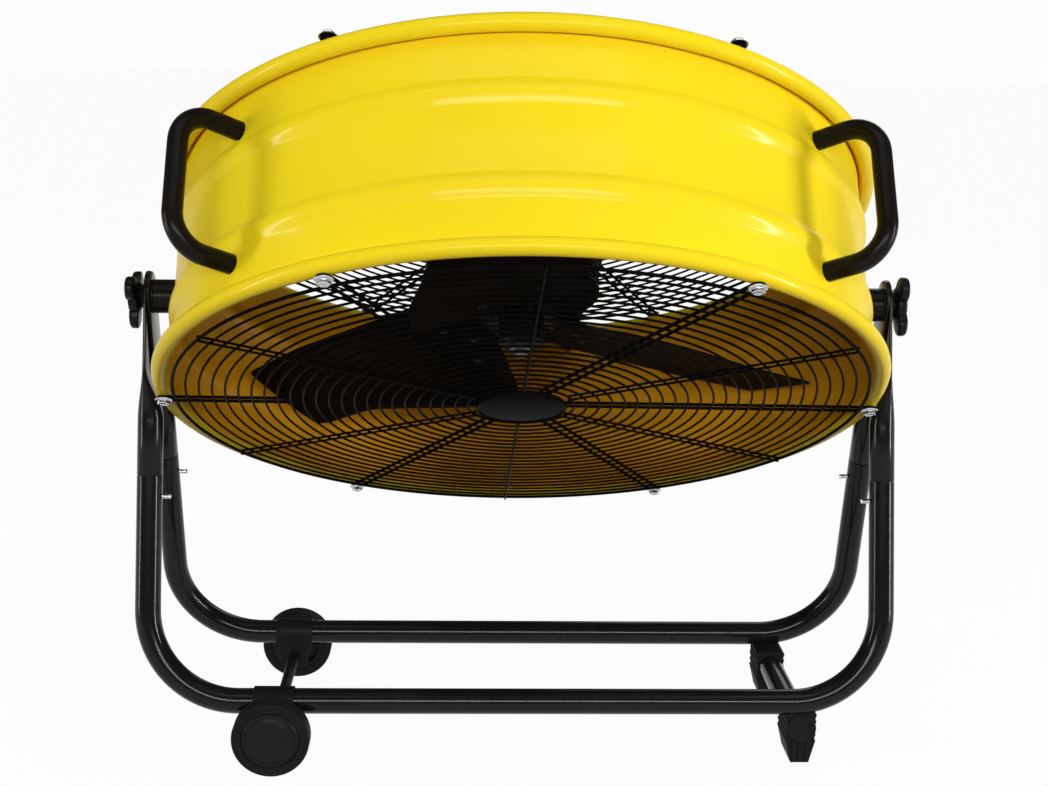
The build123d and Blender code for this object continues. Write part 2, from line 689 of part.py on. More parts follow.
def build_motor():
    save("motor_bracket", in_drum(motor_bracket()))
    save("motor_bolts", *(in_drum(bolt) for bolt in motor_bolts()))
    save("motor_rear_bell", in_drum(motor_rear_bell()))
    save("motor_can", in_drum(disc(MOTOR_RADIUS, CAN_BACK, CAN_FRONT, MOTOR_RADIUS - CAN_WALL)))
    stator = disc(MOTOR_RADIUS - CAN_WALL, CAN_BACK + 8, CAN_FRONT - 8, CORE_RADIUS + 1)
    save("motor_stator", in_drum(stator))
    save("motor_front_bell", in_drum(motor_front_bell()))
    lows = (CAN_BACK - BEARING_WIDTH, CAN_FRONT)
    save("motor_bearings", *(in_drum(bearing(low)) for low in lows))
    save("control_box", in_drum(control_box()))
    save("control_cover", in_drum(control_cover()))
    save("speed_switch", in_drum(speed_switch()))
    save("speed_dial", in_drum(speed_dial()))
    save("cord_gland", in_drum(cord_gland()))


def build_drum():
    save("drum_shell", in_drum(drum_shell()))
    for side, name in ((-1, "left"), (1, "right")):
        save(f"handle_{name}", handle(side))
        save(f"pivot_boss_{name}", pivot_boss(side))
        save(f"pivot_stud_{name}", pivot_stud(side))
        save(f"friction_washers_{name}", *washers(side))
        save(f"tilt_knob_{name}", knob(side))
    save("front_guard", in_drum(Rot(0, 0, GUARD_TURN) * wire_guard(HUB_PLATE - 12)))
    save("rear_guard", in_drum(rear_side(wire_guard(BOX_RADIUS + 2))))
    save("front_guard_screws", *(in_drum(screw) for screw in guard_screws(GUARD_TURN)))
    save("rear_guard_screws", *(in_drum(rear_side(screw)) for screw in guard_screws()))
    save("centre_badge", in_drum(badge()))


os.makedirs("parts", exist_ok=True)
build_stand()
build_drum()
build_motor()
build_rotor()
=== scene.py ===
import json
import math

import bmesh
import bpy
from mathutils import Matrix, Vector

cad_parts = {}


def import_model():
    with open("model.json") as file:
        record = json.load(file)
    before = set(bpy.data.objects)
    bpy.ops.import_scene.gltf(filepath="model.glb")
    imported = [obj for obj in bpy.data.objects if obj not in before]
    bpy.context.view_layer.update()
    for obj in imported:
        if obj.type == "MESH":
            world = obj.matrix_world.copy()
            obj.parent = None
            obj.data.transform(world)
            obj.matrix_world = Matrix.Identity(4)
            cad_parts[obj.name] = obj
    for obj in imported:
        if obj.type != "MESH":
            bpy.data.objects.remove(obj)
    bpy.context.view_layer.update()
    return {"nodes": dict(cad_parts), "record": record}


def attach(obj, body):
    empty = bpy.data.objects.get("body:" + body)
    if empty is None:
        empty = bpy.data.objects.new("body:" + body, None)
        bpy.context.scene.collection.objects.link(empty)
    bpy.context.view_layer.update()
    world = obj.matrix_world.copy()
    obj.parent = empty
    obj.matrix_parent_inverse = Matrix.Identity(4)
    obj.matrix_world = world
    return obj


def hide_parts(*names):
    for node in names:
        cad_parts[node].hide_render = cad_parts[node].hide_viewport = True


# The looks of a wheeled drum fan, in metres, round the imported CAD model. X runs across the
# fan, Y to the back and Z up. Shapes that turn with the drum are drawn about its axis, with
# local X across, local Y up the drum's tilted face and local Z out of the front guard.

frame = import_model()
NODES = frame["nodes"]

# ---- driving sizes ----
PIVOT = Vector((0, 0, 0.430))
TILT_DOWN = math.radians(58.3)
DRUM = Matrix.Translation(PIVOT) @ Matrix.Rotation(math.radians(90) + TILT_DOWN, 4, "X")

WALL = 0.322                  # outside radius of the drum
SHEET = 0.0012
ROOT = WALL - 0.004           # where the handles and bosses end, just inside the wall
RIM = 0.330                   # centre radius of the rolled rims
ROLL = 0.0075
HALF_DEPTH = 0.095            # middle of the drum to the centre of a rim
RIB_PLACE = 0.040
RIB_HALF = 0.012
RIB_HEIGHT = 0.004
RIM_FACE = HALF_DEPTH + ROLL

RINGS = 24
RING_FIRST = 0.050
RING_LAST = 0.3182
WIRE = 0.0022
OUTER_WIRE = 0.0031
SPOKE_WIRE = 0.003
SPOKE_SPREAD = 0.005
WELD = 0.0003                 # how far crossing wires sink into each other
FRONT_CLEAR = 0.033           # radius of the open middle of the front guard
REAR_CLEAR = 0.048            # and of the rear guard, round the control box
SCREW_CIRCLE = 0.3297
SCREWS = 6
BADGE = 0.0425
GUARD_TURN = -1.0             # degrees that the front guard sits round from level

TUBE = 0.012
LEG_OFFSET = 0.349
LEG_LENGTH = 0.3813
LEG_LEAN = math.radians(13.55)
BEND = 0.086
SPLICE = 0.170
EYE_TOP = 0.024
FLAT_WIDTH = 0.037
FLAT = 0.003
FLAT_END = 0.066
ROUND_START = 0.118
INNER_EYE_FACE = 0.348
BOLT_DROP = 0.189
BOTTOM_Y = LEG_LENGTH * math.sin(LEG_LEAN)
BOTTOM_Z = PIVOT.z - LEG_LENGTH * math.cos(LEG_LEAN)

WHEEL_X = -0.2295
WHEEL = 0.0362
WHEEL_INNER = 0.1076
WHEEL_OUTER = 0.128
WHEEL_HUB = 0.027
AXLE = 0.0055
BRACKET_HALF = 0.019
BRACKET_SHEET = 0.002
CROSSBAR_X = 0.272
CROSSBAR_Z = BOTTOM_Z - 2 * TUBE
FOOT_INNER = 0.055
FOOT_OUTER = 0.097
FOOT_HALF = 0.0145
FOOT_TOE = 0.009
FOOT_TAPER = 0.017
FOOT_TOP = 0.050
FOOT_RIBS = 5

HANDLE_TUBE = 0.0085
HANDLE_HALF = 0.0603
HANDLE_REACH = 0.3785
HANDLE_BEND = 0.030
HANDLE_ANGLE = math.radians(41.2)

BOSS = 0.016
BOSS_END = 0.3460
STUD = 0.006
KNOB_START = 0.356            # middle of the fan to the knob's inner face
KNOB_HEIGHT = 0.0135
KNOB_NECK = 0.0109
KNOB_RADIUS = 0.031
KNOB_LOBE = 0.011
KNOB_WAIST = 0.0165

FIRST_BLADE = 99.6            # degrees from the pivot line
BLADE_PITCH = math.radians(15.3)
BLADE_CONE = math.radians(4.7)
BLADE_CURVE = 0.760
BLADE_SHEET = 0.002
BLADE_PLANE = 0.021
BLADE_TIP = 0.303
ARM_SHEET = 0.004
RIVETS = ((0.0745, -0.027), (0.0745, 0.027), (0.057, 0.0))   # along and across an arm
HUB_RADIUS = 0.022
HUB_BACK = 0.010
HUB_FRONT = 0.044
SHAFT = 0.00635

BRACKET_BACK = -0.083
BRACKET_FRONT = -0.080
BRACKET_TURN = -3.5           # degrees that the motor bracket sits round from upright
MOTOR = 0.075
MOTOR_SCREWS = 0.058          # radius of the circles of screws and bolts on the motor
MOTOR_FRONT = 0.002
BELL = 0.016
CAN_BACK = BRACKET_FRONT + BELL
CAN_FRONT = MOTOR_FRONT - BELL
BOX = 0.046
BOX_BACK = -0.112
COVER_BACK = -0.120
DIAL = 0.018
GLAND_PLACE = 0.032
GLAND = 0.0085


# ---- shapes as lists of corners and faces ----
def joined(*parts):
    """Several (corners, faces) shapes as one."""
    corners, faces = [], []
    for part_corners, part_faces in parts:
        first = len(corners)
        corners += part_corners
        faces += [tuple(first + i for i in face) for face in part_faces]
    return corners, faces


def moved(shape, matrix):
    return [matrix @ Vector(corner) for corner in shape[0]], shape[1]


def turn_z(degrees):
    return Matrix.Rotation(math.radians(degrees), 4, "Z")


def shift(x=0.0, y=0.0, z=0.0):
    return Matrix.Translation((x, y, z))


def outward(side):
    """Turns a shape drawn along Z so that it points along X, away from the fan."""
    return Matrix.Rotation(math.radians(90 * side), 4, "Y")


def around(shape, count, start=0.0):
    """Equal copies about Z."""
    return joined(*(moved(shape, turn_z(start + 360 / count * i)) for i in range(count)))


def skin(loops, closed, capped=False):
    """Joins a row of equal loops of corners with four-sided faces."""
    size = len(loops[0])
    corners = [corner for loop in loops for corner in loop]
    faces = []
    for i in range(len(loops) if closed else len(loops) - 1):
        a, b = i * size, (i + 1) % len(loops) * size
        for k in range(size):
            m = (k + 1) % size
            faces.append((a + k, b + k, b + m, a + m))
    if capped:
        faces.append(tuple(range(size)))
        faces.append(tuple((len(loops) - 1) * size + k for k in range(size)))
    return corners, faces


def lathe(outline, sides=96):
    """Turns a closed outline of (radius, height) points about Z."""
    loops = []
    for i in range(sides):
        turn = math.tau * i / sides
        across, up = math.cos(turn), math.sin(turn)
        loops.append([Vector((r * across, r * up, z)) for r, z in outline])
    return skin(loops, closed=True)


def arc(centre, radius, first, last, steps):
    """Points round an arc in degrees, as (radius, height) or (x, y) pairs."""
    turns = [math.radians(first + (last - first) * i / steps) for i in range(steps + 1)]
    return [(centre[0] + radius * math.cos(t), centre[1] + radius * math.sin(t)) for t in turns]


def disc(radius, low, high, bore=0.0, edge=0.0006, sides=64):
    """A round plate or ring with rounded outer edges."""
    corner = radius - edge
    outline = [(bore, low), *arc((corner, low + edge), edge, -90, 0, 4)]
    outline += [*arc((corner, high - edge), edge, 0, 90, 4), (bore, high)]
    return lathe(outline, sides)


def bent(points, radii, steps=10):
    """A path through points whose corners are turned into arcs."""
    path = [Vector(points[0])]
    for before, corner, after, radius in zip(points, points[1:], points[2:], radii):
        corner = Vector(corner)
        back, on = (Vector(before) - corner).normalized(), (Vector(after) - corner).normalized()
        half = back.angle(on) / 2
        centre = corner + (back + on).normalized() * radius / math.sin(half)
        first = corner + back * radius / math.tan(half) - centre
        last = corner + on * radius / math.tan(half) - centre
        axis, sweep = first.cross(last).normalized(), first.angle(last)
        for i in range(steps + 1):
            path.append(centre + Matrix.Rotation(sweep * i / steps, 3, axis) @ first)
    return path + [Vector(points[-1])]


def tube(path, radius, sides=24, closed=False):
    """A round bar along a path, its section carried along without twist."""
    path = [Vector(point) for point in path]
    count = len(path)
    loops, normal = [], None
    for i, point in enumerate(path):
        before = path[i - 1] if closed or i else point
        after = path[(i + 1) % count] if closed or i < count - 1 else point
        along = (after - before).normalized()
        if normal is None:
            normal = along.orthogonal()
        normal = (normal - along * normal.dot(along)).normalized()
        other = along.cross(normal)
        turns = [math.tau * k / sides for k in range(sides)]
        loops.append([point + (normal * math.cos(t) + other * math.sin(t)) * radius for t in turns])
    return skin(loops, closed, capped=not closed)


def circle(radius, height, sides):
    turns = [math.tau * i / sides for i in range(sides)]
    return [Vector((radius * math.cos(t), radius * math.sin(t), height)) for t in turns]


def plate(outline, low, high):
    """A flat plate with straight sides, cut to an outline in local X and Y."""
    loops = [[Vector((x, y, z)) for x, y in outline] for z in (low, high)]
    return skin(loops, closed=False, capped=True)


def rounded_section(width, depth, corner, sides=32):
    """A rectangle with round corners, always with the same number of points."""
    points = []
    for i in range(sides):
        turn = math.tau * (i + 0.5) / sides
        across, up = math.cos(turn), math.sin(turn)
        x = math.copysign(width / 2 - corner, across) + corner * across
        y = math.copysign(depth / 2 - corner, up) + corner * up
        points.append((x, y))
    return points


# ---- materials ----
def noise(tree, scale, detail=3.0, stretch=None):
    """Noise in the object's own coordinates."""
    place = tree.nodes.new("ShaderNodeTexCoord")
    texture = tree.nodes.new("ShaderNodeTexNoise")
    texture.inputs["Scale"].default_value = scale
    texture.inputs["Detail"].default_value = detail
    source = place.outputs["Object"]
    if stretch:
        mapping = tree.nodes.new("ShaderNodeMapping")
        mapping.inputs["Scale"].default_value = stretch
        tree.links.new(source, mapping.inputs["Vector"])
        source = mapping.outputs["Vector"]
    tree.links.new(source, texture.inputs["Vector"])
    return texture.outputs["Fac"]


def spread(tree, value, low, high, start=0.3, end=0.7):
    """Maps a noise value to a range."""
    node = tree.nodes.new("ShaderNodeMapRange")
    node.inputs["From Min"].default_value = start
    node.inputs["From Max"].default_value = end
    node.inputs["To Min"].default_value = low
    node.inputs["To Max"].default_value = high
    tree.links.new(value, node.inputs["Value"])
    return node.outputs["Result"]


def blended(tree, value, first, second):
    """Mixes two colours by a value."""
    node = tree.nodes.new("ShaderNodeMix")
    node.data_type = "RGBA"
    node.inputs["A"].default_value = (*first, 1)
    node.inputs["B"].default_value = (*second, 1)
    tree.links.new(value, node.inputs["Factor"])
    return node.outputs["Result"]


def finish_of(name, colour, worn, rough, metal=0.0, coat=0.0, coat_rough=0.1, specular=0.5,
              patches=14.0, grain=900.0, grain_depth=0.00004, stretch=None):
    """A surface with patchy colour, uneven gloss and a fine grain."""
    made = bpy.data.materials.new(name)
    made.use_nodes = True
    tree = made.node_tree
    shader = tree.nodes["Principled BSDF"]
    shader.inputs["Metallic"].default_value = metal
    shader.inputs["Coat Weight"].default_value = coat
    shader.inputs["Coat Roughness"].default_value = coat_rough
    shader.inputs["Specular IOR Level"].default_value = specular
    patch = noise(tree, patches, 5.0)
    tree.links.new(blended(tree, spread(tree, patch, 0, 1), colour, worn), shader.inputs["Base Color"])
    gloss = noise(tree, patches * 3, 6.0, stretch)
    tree.links.new(spread(tree, gloss, rough[0], rough[1]), shader.inputs["Roughness"])
    bump = tree.nodes.new("ShaderNodeBump")
    bump.inputs["Strength"].default_value = 0.5
    bump.inputs["Distance"].default_value = grain_depth
    tree.links.new(noise(tree, grain, 2.0, stretch), bump.inputs["Height"])
    tree.links.new(bump.outputs["Normal"], shader.inputs["Normal"])
    return made


YELLOW = finish_of("yellow_powder_coat", (0.90, 0.70, 0.013), (0.88, 0.675, 0.011), (0.34, 0.42),
                   coat=0.14, coat_rough=0.13, specular=0.06, patches=6.0, grain=1400.0,
                   grain_depth=0.00003)
# The same yellow coat, darker and more orange: painted shade and painted light bounced round inside the
# drum.
YELLOW_PAINTED_SHADE = finish_of("yellow_coat_painted_shade", (0.80, 0.38, 0.008), (0.74, 0.34, 0.007), (0.42, 0.5),
                          specular=0.12, patches=6.0, grain=1400.0, grain_depth=0.00003)
BLACK = finish_of("black_enamel", (0.0065, 0.0065, 0.0068), (0.0085, 0.0085, 0.0088), (0.13, 0.17),
                  specular=0.18, grain=240.0, grain_depth=0.000003)
# Black enamel with a warm brownish tint; the tint is a painted reflection of the yellow drum.
GRIP = finish_of("black_handle_enamel_and_painted_reflection", (0.0065, 0.0050, 0.0040), (0.0090, 0.0070, 0.0055), (0.22, 0.3),
                 specular=0.09, grain=1000.0, grain_depth=0.00002)
WIRE_COAT = finish_of("black_wire_coating", (0.0036, 0.0032, 0.0028), (0.0052, 0.0048, 0.0044),
                      (0.15, 0.21), specular=0.004, patches=30.0, grain=1800.0,
                      grain_depth=0.00003)
SATIN = finish_of("black_satin_paint", (0.0065, 0.0060, 0.0055), (0.0095, 0.0090, 0.0085), (0.42, 0.55),
                  specular=0.10, patches=18.0, grain=1300.0)
# Black paint tinted brown; the brown is a painted reflection of the yellow inside of the drum.
BLADE = finish_of("black_blade_paint_and_painted_reflection", (0.0088, 0.0060, 0.0030), (0.0110, 0.0078, 0.0042), (0.45, 0.55),
                  specular=0.006, patches=9.0, grain=1300.0)
KNOB = finish_of("black_knob_plastic", (0.0045, 0.0045, 0.0048), (0.0065, 0.0065, 0.0068), (0.24, 0.32),
                 specular=0.12, patches=40.0, grain=2600.0, grain_depth=0.00003)
BADGE_FACE = finish_of("black_badge_lacquer", (0.0040, 0.0034, 0.0030), (0.0052, 0.0046, 0.0042),
                       (0.2, 0.28), specular=0.003, patches=40.0, grain=2600.0,
                       grain_depth=0.00001)
MOULDED = finish_of("black_moulded_plastic", (0.0065, 0.0065, 0.0068), (0.0095, 0.0095, 0.0098), (0.4, 0.5),
                    specular=0.14, patches=30.0, grain=3200.0, grain_depth=0.00006)
RUBBER = finish_of("black_rubber", (0.0065, 0.0065, 0.0065), (0.0100, 0.0098, 0.0095), (0.6, 0.75),
                   specular=0.12, patches=35.0, grain=2200.0, grain_depth=0.00009)
CHROME = finish_of("bright_plated_steel", (0.66, 0.66, 0.67), (0.5, 0.5, 0.51), (0.12, 0.24),
                   metal=1.0, patches=120.0, grain=2400.0, grain_depth=0.00002)
STEEL = finish_of("turned_steel", (0.30, 0.30, 0.31), (0.2, 0.2, 0.21), (0.26, 0.42),
                  metal=1.0, patches=60.0, grain=500.0, stretch=(1, 1, 12))
CASTING = finish_of("painted_casting", (0.010, 0.010, 0.0105), (0.017, 0.017, 0.0175), (0.5, 0.62),
                    specular=0.15, patches=40.0, grain=700.0, grain_depth=0.00015)
PRINT = finish_of("white_print", (0.72, 0.72, 0.7), (0.6, 0.6, 0.58), (0.5, 0.6), patches=90.0)


# ---- pieces ----
def piece(name, shape, material, body, nodes=(), sharp=38.0):
    """One smooth-shaded mesh that rides on a body and may stand for CAD nodes."""
    mesh = bpy.data.meshes.new(name)
    mesh.from_pydata([tuple(corner) for corner in shape[0]], [], shape[1])
    work = bmesh.new()
    work.from_mesh(mesh)
    bmesh.ops.remove_doubles(work, verts=work.verts, dist=1e-6)
    bmesh.ops.dissolve_degenerate(work, edges=work.edges, dist=1e-7)
    bmesh.ops.recalc_face_normals(work, faces=work.faces)
    for face in work.faces:
        face.smooth = True
    for edge in work.edges:
        if len(edge.link_faces) == 2:
            edge.smooth = edge.calc_face_angle() < math.radians(sharp)
    work.to_mesh(mesh)
    work.free()
    mesh.materials.append(material)
    made = bpy.data.objects.new(name, mesh)
    bpy.context.scene.collection.objects.link(made)
    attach(made, body)
    if nodes:
        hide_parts(*nodes)
    return made


def in_drum(shape):
    return moved(shape, DRUM)


def rear_side(shape):
    """Turns a shape of the front over, to the rear of the drum."""
    return moved(shape, Matrix.Rotation(math.pi, 4, "X"))


# ---- the drum ----
def rib(radius, place):
    """A soft raised band pressed into the wall."""
    steps = 14
    points = []
    for i in range(steps + 1):
        share = i / steps
        height = RIB_HEIGHT * (0.5 - 0.5 * math.cos(math.tau * share)) ** 0.6
        points.append((radius + height, place + RIB_HALF * (2 * share - 1)))
    return points


def wall_side(radius, end):
    return [(radius, -end), *rib(radius, -RIB_PLACE), *rib(radius, RIB_PLACE), (radius, end)]


def drum_skin():
    """The wall, its two bands and the rims, each curled back almost to the wall."""
    curl_end = 197
    end = HALF_DEPTH - ROLL
    outside = wall_side(WALL, end + 0.004)
    inside = [(r - SHEET, z) for r, z in reversed(wall_side(WALL, end + 0.002))]
    outer_curl = arc((RIM, HALF_DEPTH), ROLL, curl_end, 540, 40)
    inner_curl = arc((RIM, HALF_DEPTH), ROLL - SHEET, 535, curl_end, 40)
    front = [(WALL + 0.0001, HALF_DEPTH - 0.001)] + inner_curl + outer_curl
    rear = [(r, -z) for r, z in reversed(front)]
    made = piece("drum_skin", in_drum(lathe(outside + front + inside + rear, 240)), YELLOW, "drum",
                 ["drum_shell"])
    # The inward faces of the wall take the darker, more orange yellow: painted shade and painted bounced
    # light inside the drum.
    made.data.materials.append(YELLOW_PAINTED_SHADE)
    back = DRUM.inverted()
    for face in made.data.polygons:
        place = back @ face.center
        radial = Vector((place.x, place.y, 0))
        turned_in = (back.to_3x3() @ face.normal).dot(radial) < 0
        if turned_in and radial.length < WALL + RIB_HEIGHT and abs(place.z) < HALF_DEPTH:
            face.material_index = 1


def handle(side, name):
    """A bent tube grip whose ends come a little way through the wall."""
    path = bent([(ROOT, 0, -HANDLE_HALF), (HANDLE_REACH, 0, -HANDLE_HALF),
                 (HANDLE_REACH, 0, HANDLE_HALF), (ROOT, 0, HANDLE_HALF)], [HANDLE_BEND] * 2, 16)
    turn = HANDLE_ANGLE if side > 0 else math.pi - HANDLE_ANGLE
    grip = moved(tube(path, HANDLE_TUBE, 32), Matrix.Rotation(turn, 4, "Z"))
    piece(f"grip_{name}", in_drum(grip), GRIP, "drum", [f"handle_{name}"])


# ---- guards ----
RING_LEVEL = RIM_FACE + SPOKE_WIRE + WIRE / 2 - WELD


def ring_wire(radius):
    last = abs(radius - RING_LAST) < 1e-6
    sides = max(48, int(radius * 560))
    thickness = OUTER_WIRE if last else WIRE
    return tube(circle(radius, RING_LEVEL, sides), thickness / 2, 10, closed=True)


def looped_spoke(inner):
    """Two spokes of one wire, bent round a screw at the rim and closed at the hub."""
    level = RIM_FACE + SPOKE_WIRE / 2
    outer = arc((SCREW_CIRCLE, 0), SPOKE_SPREAD, -90, 90, 12)
    back = arc((inner, 0), SPOKE_SPREAD, 90, 270, 12)
    path = [Vector((x, y, level)) for x, y in outer + back]
    return tube(path, SPOKE_WIRE / 2, 12, closed=True)


def clamping_spoke(inner):
    """Two straight wires, one behind the rings and one in front of them."""
    wires = []
    for side in (-1, 1):
        level = RING_LEVEL + side * (WIRE - WELD)
        ends = [Vector((inner, 0, level)), Vector((RING_LAST + 0.0015, 0, level))]
        wires.append(tube(ends, WIRE / 2, 12))
    return joined(*wires)


def guard_wires(clear):
    """The rings beyond a clear middle, with six looped and six clamping spokes."""
    gap = (RING_LAST - RING_FIRST) / (RINGS - 1)
    radii = [RING_FIRST + gap * i for i in range(RINGS)]
    radii = [radius for radius in radii if radius > clear]
    parts = [ring_wire(radius) for radius in radii]
    parts.append(around(looped_spoke(clear + SPOKE_SPREAD + SPOKE_WIRE), SCREWS))
    parts.append(around(clamping_spoke(radii[0] - WIRE), SCREWS, 180 / SCREWS))
    return joined(*parts)


def screw():
    """A hexagon head with a round flange, dished on top."""
    top = RIM_FACE + SPOKE_WIRE
    flange = lathe([(0, top), (0.0079, top), (0.008, top + 0.0005), (0.0072, top + 0.0013),
                    (0.0052, top + 0.0017), (0, top + 0.0017)], 40)
    head = skin([
        circle(0.0056, top + 0.0012, 6), circle(0.0056, top + 0.0040, 6),
        circle(0.0050, top + 0.0047, 6), circle(0.0034, top + 0.0047, 6),
        circle(0.0028, top + 0.0040, 6),
    ], closed=False, capped=True)
    return moved(joined(flange, head), shift(x=SCREW_CIRCLE))


def badge():
    """A blank disc with a raised rim and a low dome."""
    back = RING_LEVEL - WIRE / 2
    outline = [
        (0, back), (BADGE - 0.001, back), (BADGE, back + 0.0015), (BADGE, back + 0.0035),
        (BADGE - 0.0006, back + 0.0044), (BADGE - 0.0016, back + 0.0048), (BADGE - 0.0028, back + 0.0044),
        (BADGE - 0.0036, back + 0.0037), (BADGE - 0.010, back + 0.0043), (BADGE - 0.022, back + 0.0049),
        (0, back + 0.0051),
    ]
    return lathe(outline, 128)


def guards():
    """Both guards with their screws, and the badge. The rear guard's middle is open for the dial."""
    front, rear = moved(guard_wires(FRONT_CLEAR), turn_z(GUARD_TURN)), guard_wires(REAR_CLEAR)
    piece("front_guard_wires", in_drum(front), WIRE_COAT, "drum", ["front_guard"])
    piece("rear_guard_wires", in_drum(rear_side(rear)), WIRE_COAT, "drum", ["rear_guard"])
    screws = around(screw(), SCREWS)
    front_screws = moved(screws, turn_z(GUARD_TURN))
    piece("front_screws", in_drum(front_screws), CHROME, "drum", ["front_guard_screws"], 25)
    piece("rear_screws", in_drum(rear_side(screws)), CHROME, "drum", ["rear_guard_screws"], 25)
    piece("blank_badge", in_drum(badge()), BADGE_FACE, "drum", ["centre_badge"])


# ---- the stand ----
def on_leg(shape, lean):
    """Moves an upright shape, drawn about the pivot, to its leaning frame."""
    return moved(shape, Matrix.Translation(PIVOT) @ Matrix.Rotation(lean * LEG_LEAN, 4, "X"))


def lower_frame(lean, name):
    """One tube: two short uprights and the bottom between them."""
    path = bent([(-LEG_OFFSET, 0, -SPLICE), (-LEG_OFFSET, 0, -LEG_LENGTH),
                 (LEG_OFFSET, 0, -LEG_LENGTH), (LEG_OFFSET, 0, -SPLICE)], [BEND] * 2, 28)
    piece(f"frame_tube_{name}", on_leg(tube(path, TUBE, 48), lean), BLACK, "stand",
          [f"lower_frame_{name}"])


def leg_shape(side, lean):
    """A tube whose upper end is pressed flat and rounded over the pivot."""
    eye_x = side * (INNER_EYE_FACE + FLAT * (0.5 if lean > 0 else 1.5))
    tube_x = side * LEG_OFFSET
    levels = [(-SPLICE + 0.0002, 0.0), (-SPLICE + 0.0012, 0.0)]
    steps = 16
    for i in range(steps + 1):
        share = i / steps
        levels.append((-ROUND_START + (ROUND_START - FLAT_END) * share, share * share * (3 - 2 * share)))
    loops = []
    for z, flat in levels:
        depth = 2 * TUBE + (FLAT - 2 * TUBE) * flat
        width = 2 * TUBE + (FLAT_WIDTH - 2 * TUBE) * flat
        if z < -SPLICE + 0.001:
            depth, width = depth - 0.0012, width - 0.0012
        corner = min(depth, width) / 2 * 0.999
        section = rounded_section(depth, width, corner)
        x = tube_x + (eye_x - tube_x) * flat
        loops.append([Vector((x + dx, dy, z)) for dx, dy in section])
    half = FLAT_WIDTH / 2
    for degrees in range(0, 91, 6):
        turn = math.radians(min(degrees, 89))
        width, z = FLAT_WIDTH * math.cos(turn), EYE_TOP - half + half * math.sin(turn)
        section = rounded_section(FLAT, max(width, 0.0008), min(FLAT, max(width, 0.0008)) / 2 * 0.999)
        loops.append([Vector((eye_x + dx, dy, z)) for dx, dy in section])
    return skin(loops, closed=False, capped=True)


def leg_bolt(side, lean):
    """A countersunk screw through a tube, its threaded end bare on the inner side."""
    end, pitch = -TUBE - 0.008, 0.0008
    outline = [(0, end), (0.0018, end), (0.0024, end + 0.0006)]
    for i in range(11):
        low = end + 0.0006 + pitch * i
        outline += [(0.0024, low + 0.0003), (0.0020, low + 0.0006)]
    outline += [(0.0024, -TUBE + 0.002), (0.0024, TUBE - 0.0036), (0.0044, TUBE - 0.0017)]
    outline += [(0.0044, TUBE - 0.0011), (0.0030, TUBE - 0.0010), (0.0024, TUBE - 0.0022)]
    outline.append((0, TUBE - 0.0022))
    bolt = moved(lathe(outline, 32), outward(side))
    return on_leg(moved(bolt, shift(side * LEG_OFFSET, 0, -BOLT_DROP)), lean)


def stand():
    bolts = [leg_bolt(side, lean) for side in (-1, 1) for lean in (-1, 1)]
    piece("leg_screws", joined(*bolts), CHROME, "stand", ["leg_bolts"], 30)
    for lean, name in ((-1, "front"), (1, "rear")):
        lower_frame(lean, name)
        for side, hand in ((-1, "left"), (1, "right")):
            piece(f"leg_tube_{name}_{hand}", on_leg(leg_shape(side, lean), lean), BLACK, "stand",
                  [f"leg_{name}_{hand}"], 60)


# ---- wheels and feet ----
def at_wheel(shape, side):
    """Moves a shape drawn along Z to the axle, pointing to one wheel."""
    return moved(shape, shift(WHEEL_X, 0, WHEEL) @ Matrix.Rotation(math.radians(-90 * side), 4, "X"))


def tyre():
    """A solid tyre with round shoulders and two fine grooves in its tread."""
    low, high, shoulder = WHEEL_INNER, WHEEL_OUTER, 0.0026
    middle = (low + high) / 2
    outline = [(WHEEL_HUB, low + 0.0005), (WHEEL_HUB + 0.0006, low)]
    outline += arc((WHEEL - shoulder, low + shoulder), shoulder, -90, 0, 6)
    for place in (middle - 0.0035, middle + 0.0035):
        outline += [(WHEEL, place - 0.0006), (WHEEL - 0.0006, place - 0.0003)]
        outline += [(WHEEL - 0.0006, place + 0.0003), (WHEEL, place + 0.0006)]
    outline += arc((WHEEL - shoulder, high - shoulder), shoulder, 0, 90, 6)
    outline += [(WHEEL_HUB + 0.0006, high), (WHEEL_HUB, high - 0.0005)]
    return lathe(outline, 128)


def wheel_hub():
    """A moulded hub with a beaded rim, and six ribs on its inner side."""
    low, high = WHEEL_INNER, WHEEL_OUTER
    ring = lathe([
        (AXLE, low - 0.002), (0.0106, low - 0.002), (0.011, low - 0.0016), (0.011, low + 0.008),
        (0.023, low + 0.008), (0.023, low + 0.0014), (0.0234, low + 0.001), (0.0266, low + 0.001),
        (WHEEL_HUB, low + 0.0014), (WHEEL_HUB, high - 0.0012), (0.0264, high - 0.0004),
        (0.0256, high + 0.0004), (0.0247, high + 0.0001), (0.0243, high - 0.0006), (0.0225, high - 0.0002),
        (0.022, high - 0.0006), (0.022, high - 0.005), (AXLE, high - 0.005),
    ], 128)
    rib_shape = plate([(0.0105, -0.0011), (0.0234, -0.0009), (0.0234, 0.0009), (0.0105, 0.0011)],
                      low + 0.0016, low + 0.009)
    return joined(ring, around(rib_shape, 6))


def wheel_cap():
    """A low domed cap with a small dimple in the middle."""
    high = WHEEL_OUTER
    return lathe([
        (0, high - 0.002), (0.0219, high - 0.002), (0.0219, high - 0.0008), (0.0213, high - 0.0003),
        (0.014, high + 0.0006), (0.005, high + 0.001), (0.0043, high + 0.0006), (0, high + 0.0005),
    ], 96)


def axle():
    """A rod with chamfered ends and a spacing washer on the inner side of each wheel."""
    end = WHEEL_OUTER - 0.007
    rod = lathe([(0, -end), (AXLE - 0.0008, -end), (AXLE, -end + 0.0008), (AXLE, end - 0.0008),
                 (AXLE - 0.0008, end), (0, end)], 48)
    washer = disc(0.0088, WHEEL_INNER - 0.0040, WHEEL_INNER - 0.0024, AXLE, 0.0003, 40)
    return joined(rod, washer, moved(washer, Matrix.Rotation(math.pi, 4, "X")))


